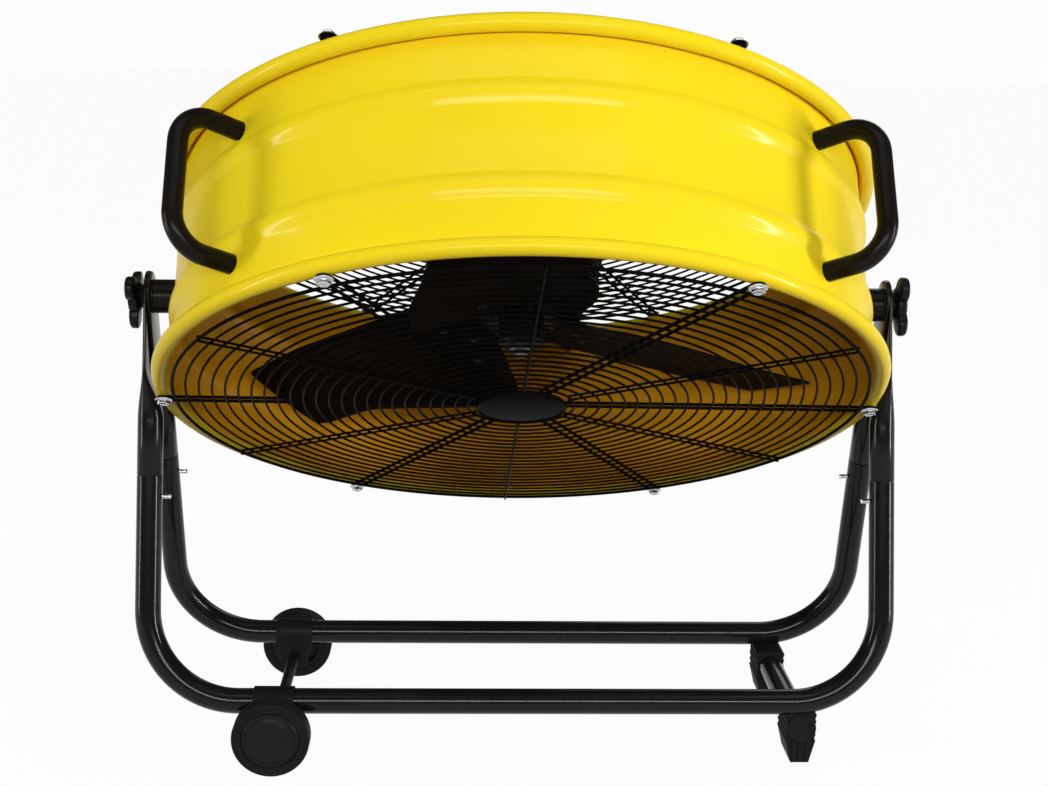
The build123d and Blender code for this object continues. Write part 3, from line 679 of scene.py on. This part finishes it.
def wheel_bracket(lean):
    """A strip of sheet bent over the bottom tube, its two cheeks narrowing to the axle."""
    drop, middle, corner = BOTTOM_Z - WHEEL, TUBE + BRACKET_SHEET / 2, 0.009
    end = drop + 0.012
    falls = [end * (i / 30) ** 0.6 for i in range(30, 0, -1)]
    stations = [(middle, -fall, 1.0, 0.0) for fall in falls]
    for degrees in range(0, 181, 9):
        across, up = math.cos(math.radians(degrees)), math.sin(math.radians(degrees))
        stations.append((middle * across, middle * up, across, up))
    stations += [(-middle, -fall, -1.0, 0.0) for fall in reversed(falls)]
    loops = []
    for y, z, normal_y, normal_z in stations:
        half = BRACKET_HALF - 0.006 * max(0, -z - 0.010) / (end - 0.010)
        left = max(0, corner - (end + z))
        half -= corner - math.sqrt(max(0, corner ** 2 - left ** 2))
        section = rounded_section(2 * half, BRACKET_SHEET, 0.0007, 24)
        loops.append([Vector((x, y + normal_y * t, z + normal_z * t)) for x, t in section])
    return moved(skin(loops, closed=False, capped=True), shift(WHEEL_X, lean * BOTTOM_Y, BOTTOM_Z))


def foot(lean):
    """A ribbed rubber boot with a toe below and a round end over the crossbar."""
    pitch = (FOOT_TOP - FOOT_TAPER) / FOOT_RIBS
    flank = [(FOOT_TOE - 0.0006, 0), (FOOT_TOE, 0.0006)]
    for i in range(FOOT_RIBS):
        low = FOOT_TAPER + pitch * i
        flank += [(FOOT_HALF - 0.0013, low + 0.0006), (FOOT_HALF - 0.0002, low + pitch - 0.0018),
                  (FOOT_HALF, low + pitch - 0.0013), (FOOT_HALF - 0.0003, low + pitch - 0.0008)]
    flank += [(0.0117, FOOT_TOP + 0.0004), (0.0106, FOOT_TOP + 0.001)]
    outline = [(-x, z) for x, z in reversed(flank)] + flank
    edge = 0.0008
    stations = ((FOOT_INNER, edge), (FOOT_INNER + edge, 0), (FOOT_OUTER - edge, 0), (FOOT_OUTER, edge))
    loops = []
    for y, inset in stations:
        loops.append([Vector((x * (1 - inset / FOOT_HALF), y, z if inset == 0 else z * 0.97 + edge))
                      for x, z in outline])
    block = skin(loops, closed=False, capped=True)
    centre = (0, 0, CROSSBAR_Z)
    round_end = moved(lathe([
        (0, -0.003), (0.0140, -0.003), (0.0140, 0.0012), (0.0134, 0.0019), (0.0126, 0.0020),
        (0.0118, 0.0016), (0, 0.0017),
    ], 64), shift(*centre) @ shift(y=FOOT_OUTER) @ Matrix.Rotation(math.radians(-90), 4, "X"))
    upright = shift(y=FOOT_OUTER) @ Matrix.Rotation(math.radians(90), 4, "X")
    low, high = 0.0012, CROSSBAR_Z - 0.013
    ribs = []
    for x in (-0.0066, 0, 0.0066):
        left, right = x - 0.0011, x + 0.0011
        rib_face = [(left, low), (right, low), (right * 1.05, high), (left * 1.05, high)]
        ribs.append(moved(plate(rib_face, -0.0009, 0.0008), upright))
    whole = moved(joined(block, round_end, *ribs), shift(x=CROSSBAR_X))
    if lean > 0:
        return whole
    return moved(whole, Matrix.Diagonal((1, -1, 1, 1)))


def running_gear():
    for side, name in ((-1, "front"), (1, "rear")):
        body = f"{name}_wheel"
        piece(f"{name}_tyre", at_wheel(tyre(), side), RUBBER, body, [f"tyre_{name}"])
        piece(f"{name}_hub", at_wheel(wheel_hub(), side), MOULDED, body, [f"wheel_hub_{name}"])
        piece(f"{name}_cap", at_wheel(wheel_cap(), side), MOULDED, body, [f"wheel_cap_{name}"])
        piece(f"{name}_bracket", wheel_bracket(side), SATIN, "stand", [f"wheel_bracket_{name}"])
        piece(f"{name}_foot", foot(side), RUBBER, "stand", [f"rubber_foot_{name}"])
    piece("axle_rod", at_wheel(axle(), 1), SATIN, "stand", ["wheel_axle"])


# ---- pivots and knobs ----
def at_pivot(shape, side):
    return moved(shape, Matrix.Translation(PIVOT) @ outward(side))


def lobed(turn, start):
    """Reach of a three-lobed outline in one direction."""
    offset = KNOB_RADIUS - KNOB_LOBE
    swing = (turn - start + math.pi / 3) % (math.tau / 3) - math.pi / 3
    across = offset * math.sin(swing)
    reach = KNOB_WAIST
    if abs(across) < KNOB_LOBE:
        tip = offset * math.cos(swing) + math.sqrt(KNOB_LOBE ** 2 - across ** 2)
        reach = (tip ** 14 + reach ** 14) ** (1 / 14)
    return min(reach, KNOB_RADIUS)


def knob_shape(start):
    """A three-lobed knob that flares from a round neck, its face a little dished."""
    wide, top = 0.06, KNOB_HEIGHT
    # Height, the widest reach there, and how far the lobes draw in.
    profile = [
        (0.0, KNOB_NECK - 0.0006, 0), (0.0004, KNOB_NECK, 0), (0.0016, KNOB_NECK, 0), (0.0026, 0.0116, 0),
        (0.0035, 0.0130, 0), (0.0042, 0.0152, 0), (0.0048, 0.0186, 0), (0.0053, 0.0235, 0),
        (0.0057, 0.0290, 0), (0.0062, 0.0340, 0), (0.0070, wide, 0),
        (top - 0.0028, wide, 0), (top - 0.0018, wide, 0.0002), (top - 0.0009, wide, 0.0007),
        (top - 0.0003, wide, 0.0014), (top, wide, 0.0024), (top - 0.0002, wide, 0.0042),
        (top - 0.0009, 0.0085, 0.0), (top - 0.0012, 0.0060, 0.0),
    ]
    turns = [math.tau * i / 144 for i in range(144)]
    loops = []
    for height, limit, inset in profile:
        loop = []
        for turn in turns:
            reach = (lobed(turn, start) ** -10 + limit ** -10) ** -0.1 - inset
            loop.append(Vector((reach * math.cos(turn), reach * math.sin(turn), KNOB_START + height)))
        loops.append(loop)
    return skin(loops, closed=False, capped=True)


def pivots():
    """The bosses, which come a little way through the wall, their washers and the knobs."""
    for side, name in ((-1, "left"), (1, "right")):
        boss = at_pivot(lathe([
            (0.0, ROOT), (BOSS, ROOT), (BOSS, BOSS_END - 0.0006),
            (BOSS - 0.0005, BOSS_END), (0.0, BOSS_END),
        ], 64), side)
        piece(f"boss_{name}", boss, GRIP, "drum", [f"pivot_boss_{name}"])
        washers = joined(disc(BOSS, BOSS_END + 0.0001, INNER_EYE_FACE - 0.0001, STUD),
                         disc(0.014, INNER_EYE_FACE + 2 * FLAT + 0.0001, KNOB_START - 0.0001, STUD))
        piece(f"washers_{name}", at_pivot(washers, side), MOULDED, "drum", [f"friction_washers_{name}"],
              30)
        start = math.radians(90 if side > 0 else 180)
        piece(f"knob_{name}", at_pivot(knob_shape(start), side), KNOB, f"{name}_knob",
              [f"tilt_knob_{name}"], 60)


# ---- blades and rotor ----
def span_at(outline, x):
    """Lowest and highest Y of a closed outline at one X."""
    heights = []
    for (x0, y0), (x1, y1) in zip(outline, outline[1:] + outline[:1]):
        if (x0 - x) * (x1 - x) <= 0 and x0 != x1:
            heights.append(y0 + (y1 - y0) * (x - x0) / (x1 - x0))
    return min(heights), max(heights)


def rolled_sheet(points, radii, thickness, depth, reach):
    """Curved sheet with rounded edges, cut to a filleted outline, its front face a depth down."""
    first = [(a + b) / 2 for a, b in zip(points[0], points[-1])]
    corners = [(*first, 0)] + [(*point, 0) for point in points] + [(*first, 0)]
    outline = [(v.x, v.y) for v in bent(corners, radii, 12)]
    left, right = min(x for x, y in outline) + 0.00005, min(max(x for x, y in outline), reach) - 0.00005
    rows, across = 64, 16
    loops = []
    for i in range(rows + 1):
        x = left + (right - left) * (1 - math.cos(math.pi * i / rows)) / 2
        low, high = span_at(outline, x)
        limit = math.sqrt(max(reach ** 2 - x ** 2, 0))
        low, high = max(low, -limit), min(high, limit)
        edge = min(thickness / 2, (high - low) / 4)
        ys = [low + edge + (high - low - 2 * edge) * k / across for k in range(across + 1)]
        front, back = BLADE_CURVE + depth, BLADE_CURVE + depth + thickness
        middle = BLADE_CURVE + depth + thickness / 2
        loop = [(y, BLADE_CURVE - math.sqrt(front ** 2 - y * y)) for y in ys]
        loop.append((high, BLADE_CURVE - math.sqrt(middle ** 2 - high ** 2)))
        loop += [(y, BLADE_CURVE - math.sqrt(back ** 2 - y * y)) for y in reversed(ys)]
        loop.append((low, BLADE_CURVE - math.sqrt(middle ** 2 - low ** 2)))
        loops.append([Vector((x, y, z)) for y, z in loop])
    return skin(loops, closed=False, capped=True)


def pitched(shape, turn):
    lean = turn_z(turn) @ shift(z=BLADE_PLANE) @ Matrix.Rotation(-BLADE_CONE, 4, "Y")
    return moved(shape, lean @ Matrix.Rotation(BLADE_PITCH, 4, "X"))


def blade_sheet():
    points = [(0.038, -0.010), (0.062, -0.072), (0.220, -0.081), (0.308, -0.074), (0.308, 0.038),
              (0.230, 0.042), (0.130, 0.088), (0.070, 0.094), (0.038, 0.010)]
    radii = [0.005, 0.020, 0.120, 0.026, 0.024, 0.070, 0.060, 0.018, 0.005]
    return rolled_sheet(points, radii, BLADE_SHEET, 0.0, BLADE_TIP)


def spider_arm():
    points = [(0.010, -0.016), (0.036, -0.016), (0.052, -0.037), (0.084, -0.037),
              (0.084, 0.037), (0.052, 0.037), (0.036, 0.016), (0.010, 0.016)]
    radii = [0.0005, 0.010, 0.006, 0.010, 0.010, 0.006, 0.010, 0.0005]
    return rolled_sheet(points, radii, ARM_SHEET, BLADE_SHEET, 1.0)


def blade_rivets():
    """Domed heads in front of a blade and upset ends behind its arm."""
    back, upset = -BLADE_SHEET - ARM_SHEET, -BLADE_SHEET - ARM_SHEET - 0.0015
    shape = joined(
        lathe([(0, 0), (0.0045, 0.0), (0.0042, 0.0009), (0.0034, 0.0017), (0.0020, 0.0022),
               (0, 0.0024)], 32),
        lathe([(0, back), (0.0044, back), (0.0042, back - 0.0011), (0.0032, upset), (0, upset)], 32),
    )
    made = []
    for along, across in RIVETS:
        swing = shift(z=BLADE_CURVE) @ Matrix.Rotation(across / BLADE_CURVE, 4, "X") @ shift(z=-BLADE_CURVE)
        made.append(moved(shape, swing @ shift(x=along)))
    return joined(*made)


def hub_barrel():
    """The bored barrel with a groove near its front and a set screw in its side."""
    barrel = lathe([
        (SHAFT, HUB_BACK), (HUB_RADIUS - 0.001, HUB_BACK), (HUB_RADIUS, HUB_BACK + 0.001),
        (HUB_RADIUS, HUB_FRONT - 0.007), (HUB_RADIUS - 0.0008, HUB_FRONT - 0.0065),
        (HUB_RADIUS - 0.0008, HUB_FRONT - 0.0055), (HUB_RADIUS, HUB_FRONT - 0.005),
        (HUB_RADIUS, HUB_FRONT - 0.0012), (HUB_RADIUS - 0.0012, HUB_FRONT), (SHAFT, HUB_FRONT),
    ], 96)
    on_side = shift(z=0.014) @ outward(1) @ shift(z=HUB_RADIUS - 0.0009)
    return joined(barrel, moved(disc(0.003, 0, 0.0012, 0.0014, 0.0003, 6), on_side))


def rotor():
    turns = [FIRST_BLADE + 120 * i for i in range(3)]
    for i, turn in enumerate(turns):
        piece(f"paddle_{i + 1}", in_drum(pitched(blade_sheet(), turn)), BLADE, "rotor", [f"blade_{i + 1}"],
              50)
    pins = joined(*(pitched(blade_rivets(), turn) for turn in turns))
    piece("rivet_heads", in_drum(pins), SATIN, "rotor", ["blade_rivets"], 40)
    arms = joined(hub_barrel(), *(pitched(spider_arm(), turn) for turn in turns))
    piece("hub_and_arms", in_drum(arms), SATIN, "rotor", ["fan_spider"], 40)
    nut = skin([
        circle(SHAFT, HUB_FRONT, 6), circle(0.0100, HUB_FRONT, 6), circle(0.011, HUB_FRONT + 0.0008, 6),
        circle(0.011, HUB_FRONT + 0.0062, 6), circle(0.0100, HUB_FRONT + 0.007, 6),
        circle(SHAFT, HUB_FRONT + 0.007, 6),
    ], closed=True)
    piece("hub_locknut", in_drum(nut), STEEL, "rotor", ["hub_nut"], 20)


# ---- motor and controls ----
def motor_can():
    """The middle of the motor, with narrow cooling fins round it."""
    outline = [(MOTOR - 0.004, CAN_BACK), (MOTOR, CAN_BACK)]
    fins = 10
    pitch = (CAN_FRONT - CAN_BACK) / fins
    for i in range(fins):
        low = CAN_BACK + pitch * i
        outline += [(MOTOR, low + pitch * 0.42), (MOTOR - 0.0022, low + pitch * 0.5)]
        outline += [(MOTOR - 0.0022, low + pitch * 0.86), (MOTOR, low + pitch * 0.94)]
    outline += [(MOTOR, CAN_FRONT), (MOTOR - 0.004, CAN_FRONT)]
    return lathe(outline, 128)


def front_bell():
    """The front casting: a raised boss round the shaft, eight ribs and four screw heads."""
    face = MOTOR_FRONT
    casting = lathe([
        (0, CAN_FRONT), (MOTOR, CAN_FRONT), (MOTOR, CAN_FRONT + 0.0075),
        (MOTOR - 0.0008, CAN_FRONT + 0.0085), (MOTOR - 0.0095, face - 0.0004), (MOTOR - 0.0105, face),
        (0.0250, face), (0.0238, face + 0.0006), (0.0202, face + 0.0066), (0.0194, face + 0.007),
        (0.0078, face + 0.007), (0.0074, face + 0.0055), (0, face + 0.0055),
    ], 128)
    rib_face = [(0.021, face - 0.001), (0.064, face - 0.001), (0.0635, face + 0.0012),
                (0.030, face + 0.0022), (0.0225, face + 0.0048)]
    rib_shape = moved(plate(rib_face, -0.0012, 0.0012), Matrix.Rotation(math.radians(90), 4, "X"))
    head = moved(disc(0.0042, face - 0.0005, face + 0.0022, 0.0, 0.0007, 24), shift(x=MOTOR_SCREWS))
    return joined(casting, around(rib_shape, 8), around(head, 4, 22.5))


def rear_bell():
    """The rear casting, a shallow cup against the bracket."""
    front = BRACKET_FRONT
    return lathe([
        (0, front), (MOTOR - 0.0065, front), (MOTOR - 0.0055, front + 0.0004),
        (MOTOR - 0.0004, front + 0.0056), (MOTOR, front + 0.0066), (MOTOR, CAN_BACK), (0, CAN_BACK),
    ], 128)


def motor_bolts():
    """Hexagon bolt heads behind the bracket, each on a washer."""
    low = BRACKET_BACK - 0.004
    head = skin([circle(0.0034, low, 6), circle(0.0052, low, 6), circle(0.0058, low + 0.0006, 6),
                 circle(0.0058, BRACKET_BACK - 0.0008, 6)], closed=False, capped=True)
    washer = disc(0.0075, BRACKET_BACK - 0.001, BRACKET_BACK, 0.0, 0.0003, 40)
    return around(moved(joined(head, washer), shift(x=MOTOR_SCREWS)), 4, 45 + BRACKET_TURN)


def control_cup():
    """The round box behind the bracket, with a fine groove beside its lid."""
    return lathe([
        (0.0415, BRACKET_BACK), (BOX, BRACKET_BACK), (BOX, BOX_BACK + 0.0030),
        (BOX - 0.0006, BOX_BACK + 0.0026), (BOX - 0.0006, BOX_BACK + 0.0018), (BOX, BOX_BACK + 0.0014),
        (BOX, BOX_BACK), (0.0435, BOX_BACK), (0.0435, BRACKET_BACK - 0.0025),
        (0.0415, BRACKET_BACK - 0.0025),
    ], 96)


def control_lid():
    """The lid with a round edge, a fine groove round the dial and four small screws."""
    back = COVER_BACK
    lid = lathe([
        (0, BOX_BACK), (BOX, BOX_BACK), (BOX, back + 0.0042), (BOX - 0.0006, back + 0.0026),
        (BOX - 0.0022, back + 0.0008), (BOX - 0.0042, back), (0.0212, back), (0.0207, back + 0.0005),
        (0.0198, back + 0.0005), (0.0193, back), (0, back),
    ], 128)
    head = moved(disc(0.0026, back - 0.0003, back + 0.0008, 0.0, 0.0003, 20), shift(x=0.039))
    return joined(lid, around(head, 4, 45))


def dial():
    """A round dial with a rounded grip bar and a fluted edge."""
    back = COVER_BACK - 0.0005
    skirt = ((0, 0.0004), (-0.0004, 0), (-0.0050, 0.0009), (-0.0057, 0.0014), (-0.006, 0.0022))
    loops = []
    for height, inset in skirt:
        loop = []
        for i in range(144):
            turn = math.tau * i / 144
            radius = DIAL - inset - 0.0003 * (0.5 + 0.5 * math.cos(36 * turn))
            loop.append(Vector((radius * math.cos(turn), radius * math.sin(turn), back + height)))
        loops.append(loop)
    bar = []
    for height, inset in ((-0.004, 0), (-0.0138, 0.0003), (-0.0146, 0.0008), (-0.015, 0.0016)):
        section = rounded_section(2 * (DIAL - 0.0025 - inset), 0.008 - 2 * inset, 0.0039 - inset, 48)
        bar.append([Vector((x, y, back + height)) for x, y in section])
    return joined(skin(loops, closed=False, capped=True), skin(bar, closed=False, capped=True))


def flat_text(word, size, place, turn):
    """Plain figures as thin meshes, facing out of the back."""
    curve = bpy.data.curves.new("figure", "FONT")
    curve.body, curve.size = word, size
    curve.align_x, curve.align_y = "CENTER", "CENTER"
    curve.extrude = 0.00008
    maker = bpy.data.objects.new("figure", curve)
    mesh = bpy.data.meshes.new_from_object(maker)
    bpy.data.objects.remove(maker)
    flat = [vertex.co.copy() for vertex in mesh.vertices], [tuple(face.vertices) for face in mesh.polygons]
    return moved(flat, shift(*place) @ turn)


def printing():
    """The dial's four positions and the pointer line on its grip."""
    face_back = Matrix.Rotation(math.pi, 4, "Y")
    marks = []
    for i, word in enumerate("0123"):
        turn = math.radians(90 - 90 * i)
        place = (-0.0265 * math.cos(turn), 0.0265 * math.sin(turn), COVER_BACK)
        marks.append(flat_text(word, 0.007, place, face_back))
        tick = plate([(-0.0004, 0.0215), (0.0004, 0.0215), (0.0004, 0.0228), (-0.0004, 0.0228)],
                     COVER_BACK - 0.00008, COVER_BACK + 0.0002)
        marks.append(moved(tick, turn_z(90 * i)))
    line = plate([(-0.0005, 0.006), (0.0005, 0.006), (0.0005, 0.0142), (-0.0005, 0.0142)],
                 COVER_BACK - 0.0156, COVER_BACK - 0.0152)
    return joined(*marks), line


def gland():
    """A bored collar with a round nut that steps in to a tapered end."""
    back = COVER_BACK
    collar = lathe([
        (0.0038, BOX_BACK), (GLAND - 0.002, BOX_BACK), (GLAND - 0.002, back), (GLAND - 0.0004, back),
        (GLAND, back - 0.0006), (GLAND, back - 0.0062), (GLAND - 0.0005, back - 0.007),
        (GLAND - 0.0012, back - 0.0074), (GLAND - 0.0014, back - 0.0085), (GLAND - 0.0018, back - 0.0090),
        (GLAND - 0.0021, back - 0.0110), (GLAND - 0.0026, back - 0.0115), (GLAND - 0.0026, back - 0.0135),
        (GLAND - 0.0030, back - 0.0140), (GLAND - 0.0034, back - 0.0158), (0.0044, back - 0.016),
        (0.0038, back - 0.0154),
    ], 48)
    return moved(collar, shift(y=-GLAND_PLACE))


def motor_and_controls():
    parts = (
        ("can_fins", motor_can(), CASTING, ["motor_can"], "black_satin"),
        ("front_end_bell", front_bell(), CASTING, ["motor_front_bell"], "cast_alloy"),
        ("rear_end_bell", rear_bell(), CASTING, ["motor_rear_bell"], "cast_alloy"),
        ("bracket_bolts", motor_bolts(), CHROME, ["motor_bolts"], "steel"),
        ("control_cup", control_cup(), MOULDED, ["control_box"], "matt_plastic"),
        ("control_lid", control_lid(), MOULDED, ["control_cover"], "matt_plastic"),
        ("gland_collar", gland(), MOULDED, ["cord_gland"], "matt_plastic"),
    )
    for name, shape, material, nodes, slot in parts:
        piece(name, in_drum(shape), material, "drum", nodes, 30)
    marks, line = printing()
    piece("dial_knob", in_drum(dial()), KNOB, "dial", ["speed_dial"], 30)
    piece("dial_figures", in_drum(marks), PRINT, "drum")
    piece("dial_pointer", in_drum(line), PRINT, "dial")


# ---- the floor, the lights and the camera ----
FLOOR_SEEN = (0.9, 0.9, 0.9)
FLOOR_BOUNCE = (0.17, 0.10, 0.055)    # what bounced light sees: a dim, warm floor
FLOOR_GLOW = 0.95                     # how much of the seen floor is white by itself
FLOOR_HALF = 60.0


def seen_by(tree, other):
    """1 for rays from the camera and rays of one other kind, and 0 for the rest."""
    path = tree.nodes.new("ShaderNodeLightPath")
    seen = tree.nodes.new("ShaderNodeMath")
    seen.operation = "MAXIMUM"
    tree.links.new(path.outputs["Is Camera Ray"], seen.inputs[0])
    tree.links.new(path.outputs[other], seen.inputs[1])
    return seen.outputs[0]


def stage_material():
    """Near white to the camera and to reflections, dim for bounced light, with a soft shadow."""
    made = bpy.data.materials.new("studio_white")
    made.use_nodes = True
    tree = made.node_tree
    tree.nodes.clear()
    out = tree.nodes.new("ShaderNodeOutputMaterial")
    seen = seen_by(tree, "Is Glossy Ray")
    lit = tree.nodes.new("ShaderNodeBsdfDiffuse")
    shade = blended(tree, seen, FLOOR_BOUNCE, FLOOR_SEEN)
    tree.links.new(shade, lit.inputs["Color"])
    glow = tree.nodes.new("ShaderNodeEmission")
    glow.inputs["Color"].default_value = (1, 1, 1, 1)
    share = tree.nodes.new("ShaderNodeMath")
    share.operation = "MULTIPLY"
    share.inputs[1].default_value = FLOOR_GLOW
    tree.links.new(seen, share.inputs[0])
    mix = tree.nodes.new("ShaderNodeMixShader")
    tree.links.new(share.outputs[0], mix.inputs[0])
    tree.links.new(lit.outputs[0], mix.inputs[1])
    tree.links.new(glow.outputs[0], mix.inputs[2])
    tree.links.new(mix.outputs[0], out.inputs[0])
    return made


def floor():
    half = FLOOR_HALF
    corners = [(-half, -half, 0), (half, -half, 0), (half, half, 0), (-half, half, 0)]
    mesh = bpy.data.meshes.new("floor")
    mesh.from_pydata(corners, [], [(0, 1, 2, 3)])
    mesh.materials.append(stage_material())
    made = bpy.data.objects.new("floor", mesh)
    bpy.context.scene.collection.objects.link(made)


def world(camera_light, ambient):
    """White behind the object, and a weaker even light on it."""
    made = bpy.data.worlds.new("studio")
    bpy.context.scene.world = made
    made.use_nodes = True
    tree = made.node_tree
    tree.nodes.clear()
    out = tree.nodes.new("ShaderNodeOutputWorld")
    seen = seen_by(tree, "Is Transmission Ray")
    bright = tree.nodes.new("ShaderNodeBackground")
    bright.inputs["Strength"].default_value = camera_light
    soft = tree.nodes.new("ShaderNodeBackground")
    soft.inputs["Strength"].default_value = ambient
    for shade in (bright, soft):
        shade.inputs["Color"].default_value = (1, 1, 1, 1)
    mix = tree.nodes.new("ShaderNodeMixShader")
    tree.links.new(seen, mix.inputs[0])
    tree.links.new(soft.outputs[0], mix.inputs[1])
    tree.links.new(bright.outputs[0], mix.inputs[2])
    tree.links.new(mix.outputs[0], out.inputs[0])


def lamp(name, place, aim, size, power):
    """A rectangular soft light at a place, turned to its aim."""
    data = bpy.data.lights.new(name, "AREA")
    data.shape = "RECTANGLE"
    data.size, data.size_y = size
    data.energy = power
    made = bpy.data.objects.new(name, data)
    made.location = place
    made.rotation_euler = (Vector(aim) - Vector(place)).to_track_quat("-Z", "Y").to_euler()
    bpy.context.scene.collection.objects.link(made)


def lights():
    """A low, long key in front, soft light above, a fill behind and a strip at each side."""
    world(camera_light=0.975, ambient=0.12)
    lamp("key_front", (0.0, -2.35, 1.08), (0, 0, 0.35), (2.3, 0.28), 37)
    lamp("soft_above", (0.0, -0.9, 3.0), (0, 0, 0.4), (2.6, 1.6), 18)
    lamp("fill_back", (1.2, 2.6, 1.8), (0, 0, 0.45), (2.0, 1.4), 14)
    lamp("strip_left", (-2.3, -0.6, 0.55), (0, 0, 0.45), (0.14, 1.2), 16)
    lamp("strip_right", (2.3, -0.8, 0.55), (0, 0, 0.45), (0.12, 1.2), 32)


def camera():
    """The photograph's view, solved on its edges: 1048 by 786 pixels."""
    width_pixels, focal_pixels = 1048, 1529.7
    yaw, pitch, roll = math.radians(2.362), math.radians(12.39), math.radians(1.073)
    from_pivot = Vector((-0.055, -1.4454, 0.2275))
    data = bpy.data.cameras.new("camera")
    data.sensor_width = 36.0
    data.lens = focal_pixels / width_pixels * data.sensor_width
    made = bpy.data.objects.new("camera", data)
    ahead = Vector((math.sin(yaw) * math.cos(pitch), math.cos(yaw) * math.cos(pitch), -math.sin(pitch)))
    right = Vector((math.cos(yaw), -math.sin(yaw), 0))
    up = right.cross(ahead)
    rolled_right = right * math.cos(roll) + up * math.sin(roll)
    rolled_up = up * math.cos(roll) - right * math.sin(roll)
    turn = Matrix((rolled_right, rolled_up, -ahead)).transposed()
    made.matrix_world = Matrix.Translation(PIVOT + from_pivot) @ turn.to_4x4()
    bpy.context.scene.collection.objects.link(made)
    bpy.context.scene.camera = made


# ---- what the CAD nodes that stay are made of ----
def dress():
    finishes = {
        "black_paint": BLACK, "black_satin": SATIN, "blade_paint": BLADE, "chrome": CHROME,
        "steel": STEEL, "cast_alloy": CASTING, "rubber": RUBBER, "tyre": RUBBER,
        "black_plastic": KNOB, "matt_plastic": MOULDED, "yellow_paint": YELLOW, "black_wire": WIRE_COAT,
    }
    for row in frame["record"]["subparts"]:
        node = NODES[row["node"]]
        node.data.materials.clear()
        node.data.materials.append(finishes[row["material_slot"]])


dress()
drum_skin()
handle(-1, "left")
handle(1, "right")
guards()
stand()
running_gear()
pivots()
rotor()
motor_and_controls()
floor()
lights()
camera()
bpy.context.scene.view_settings.view_transform = "Standard"
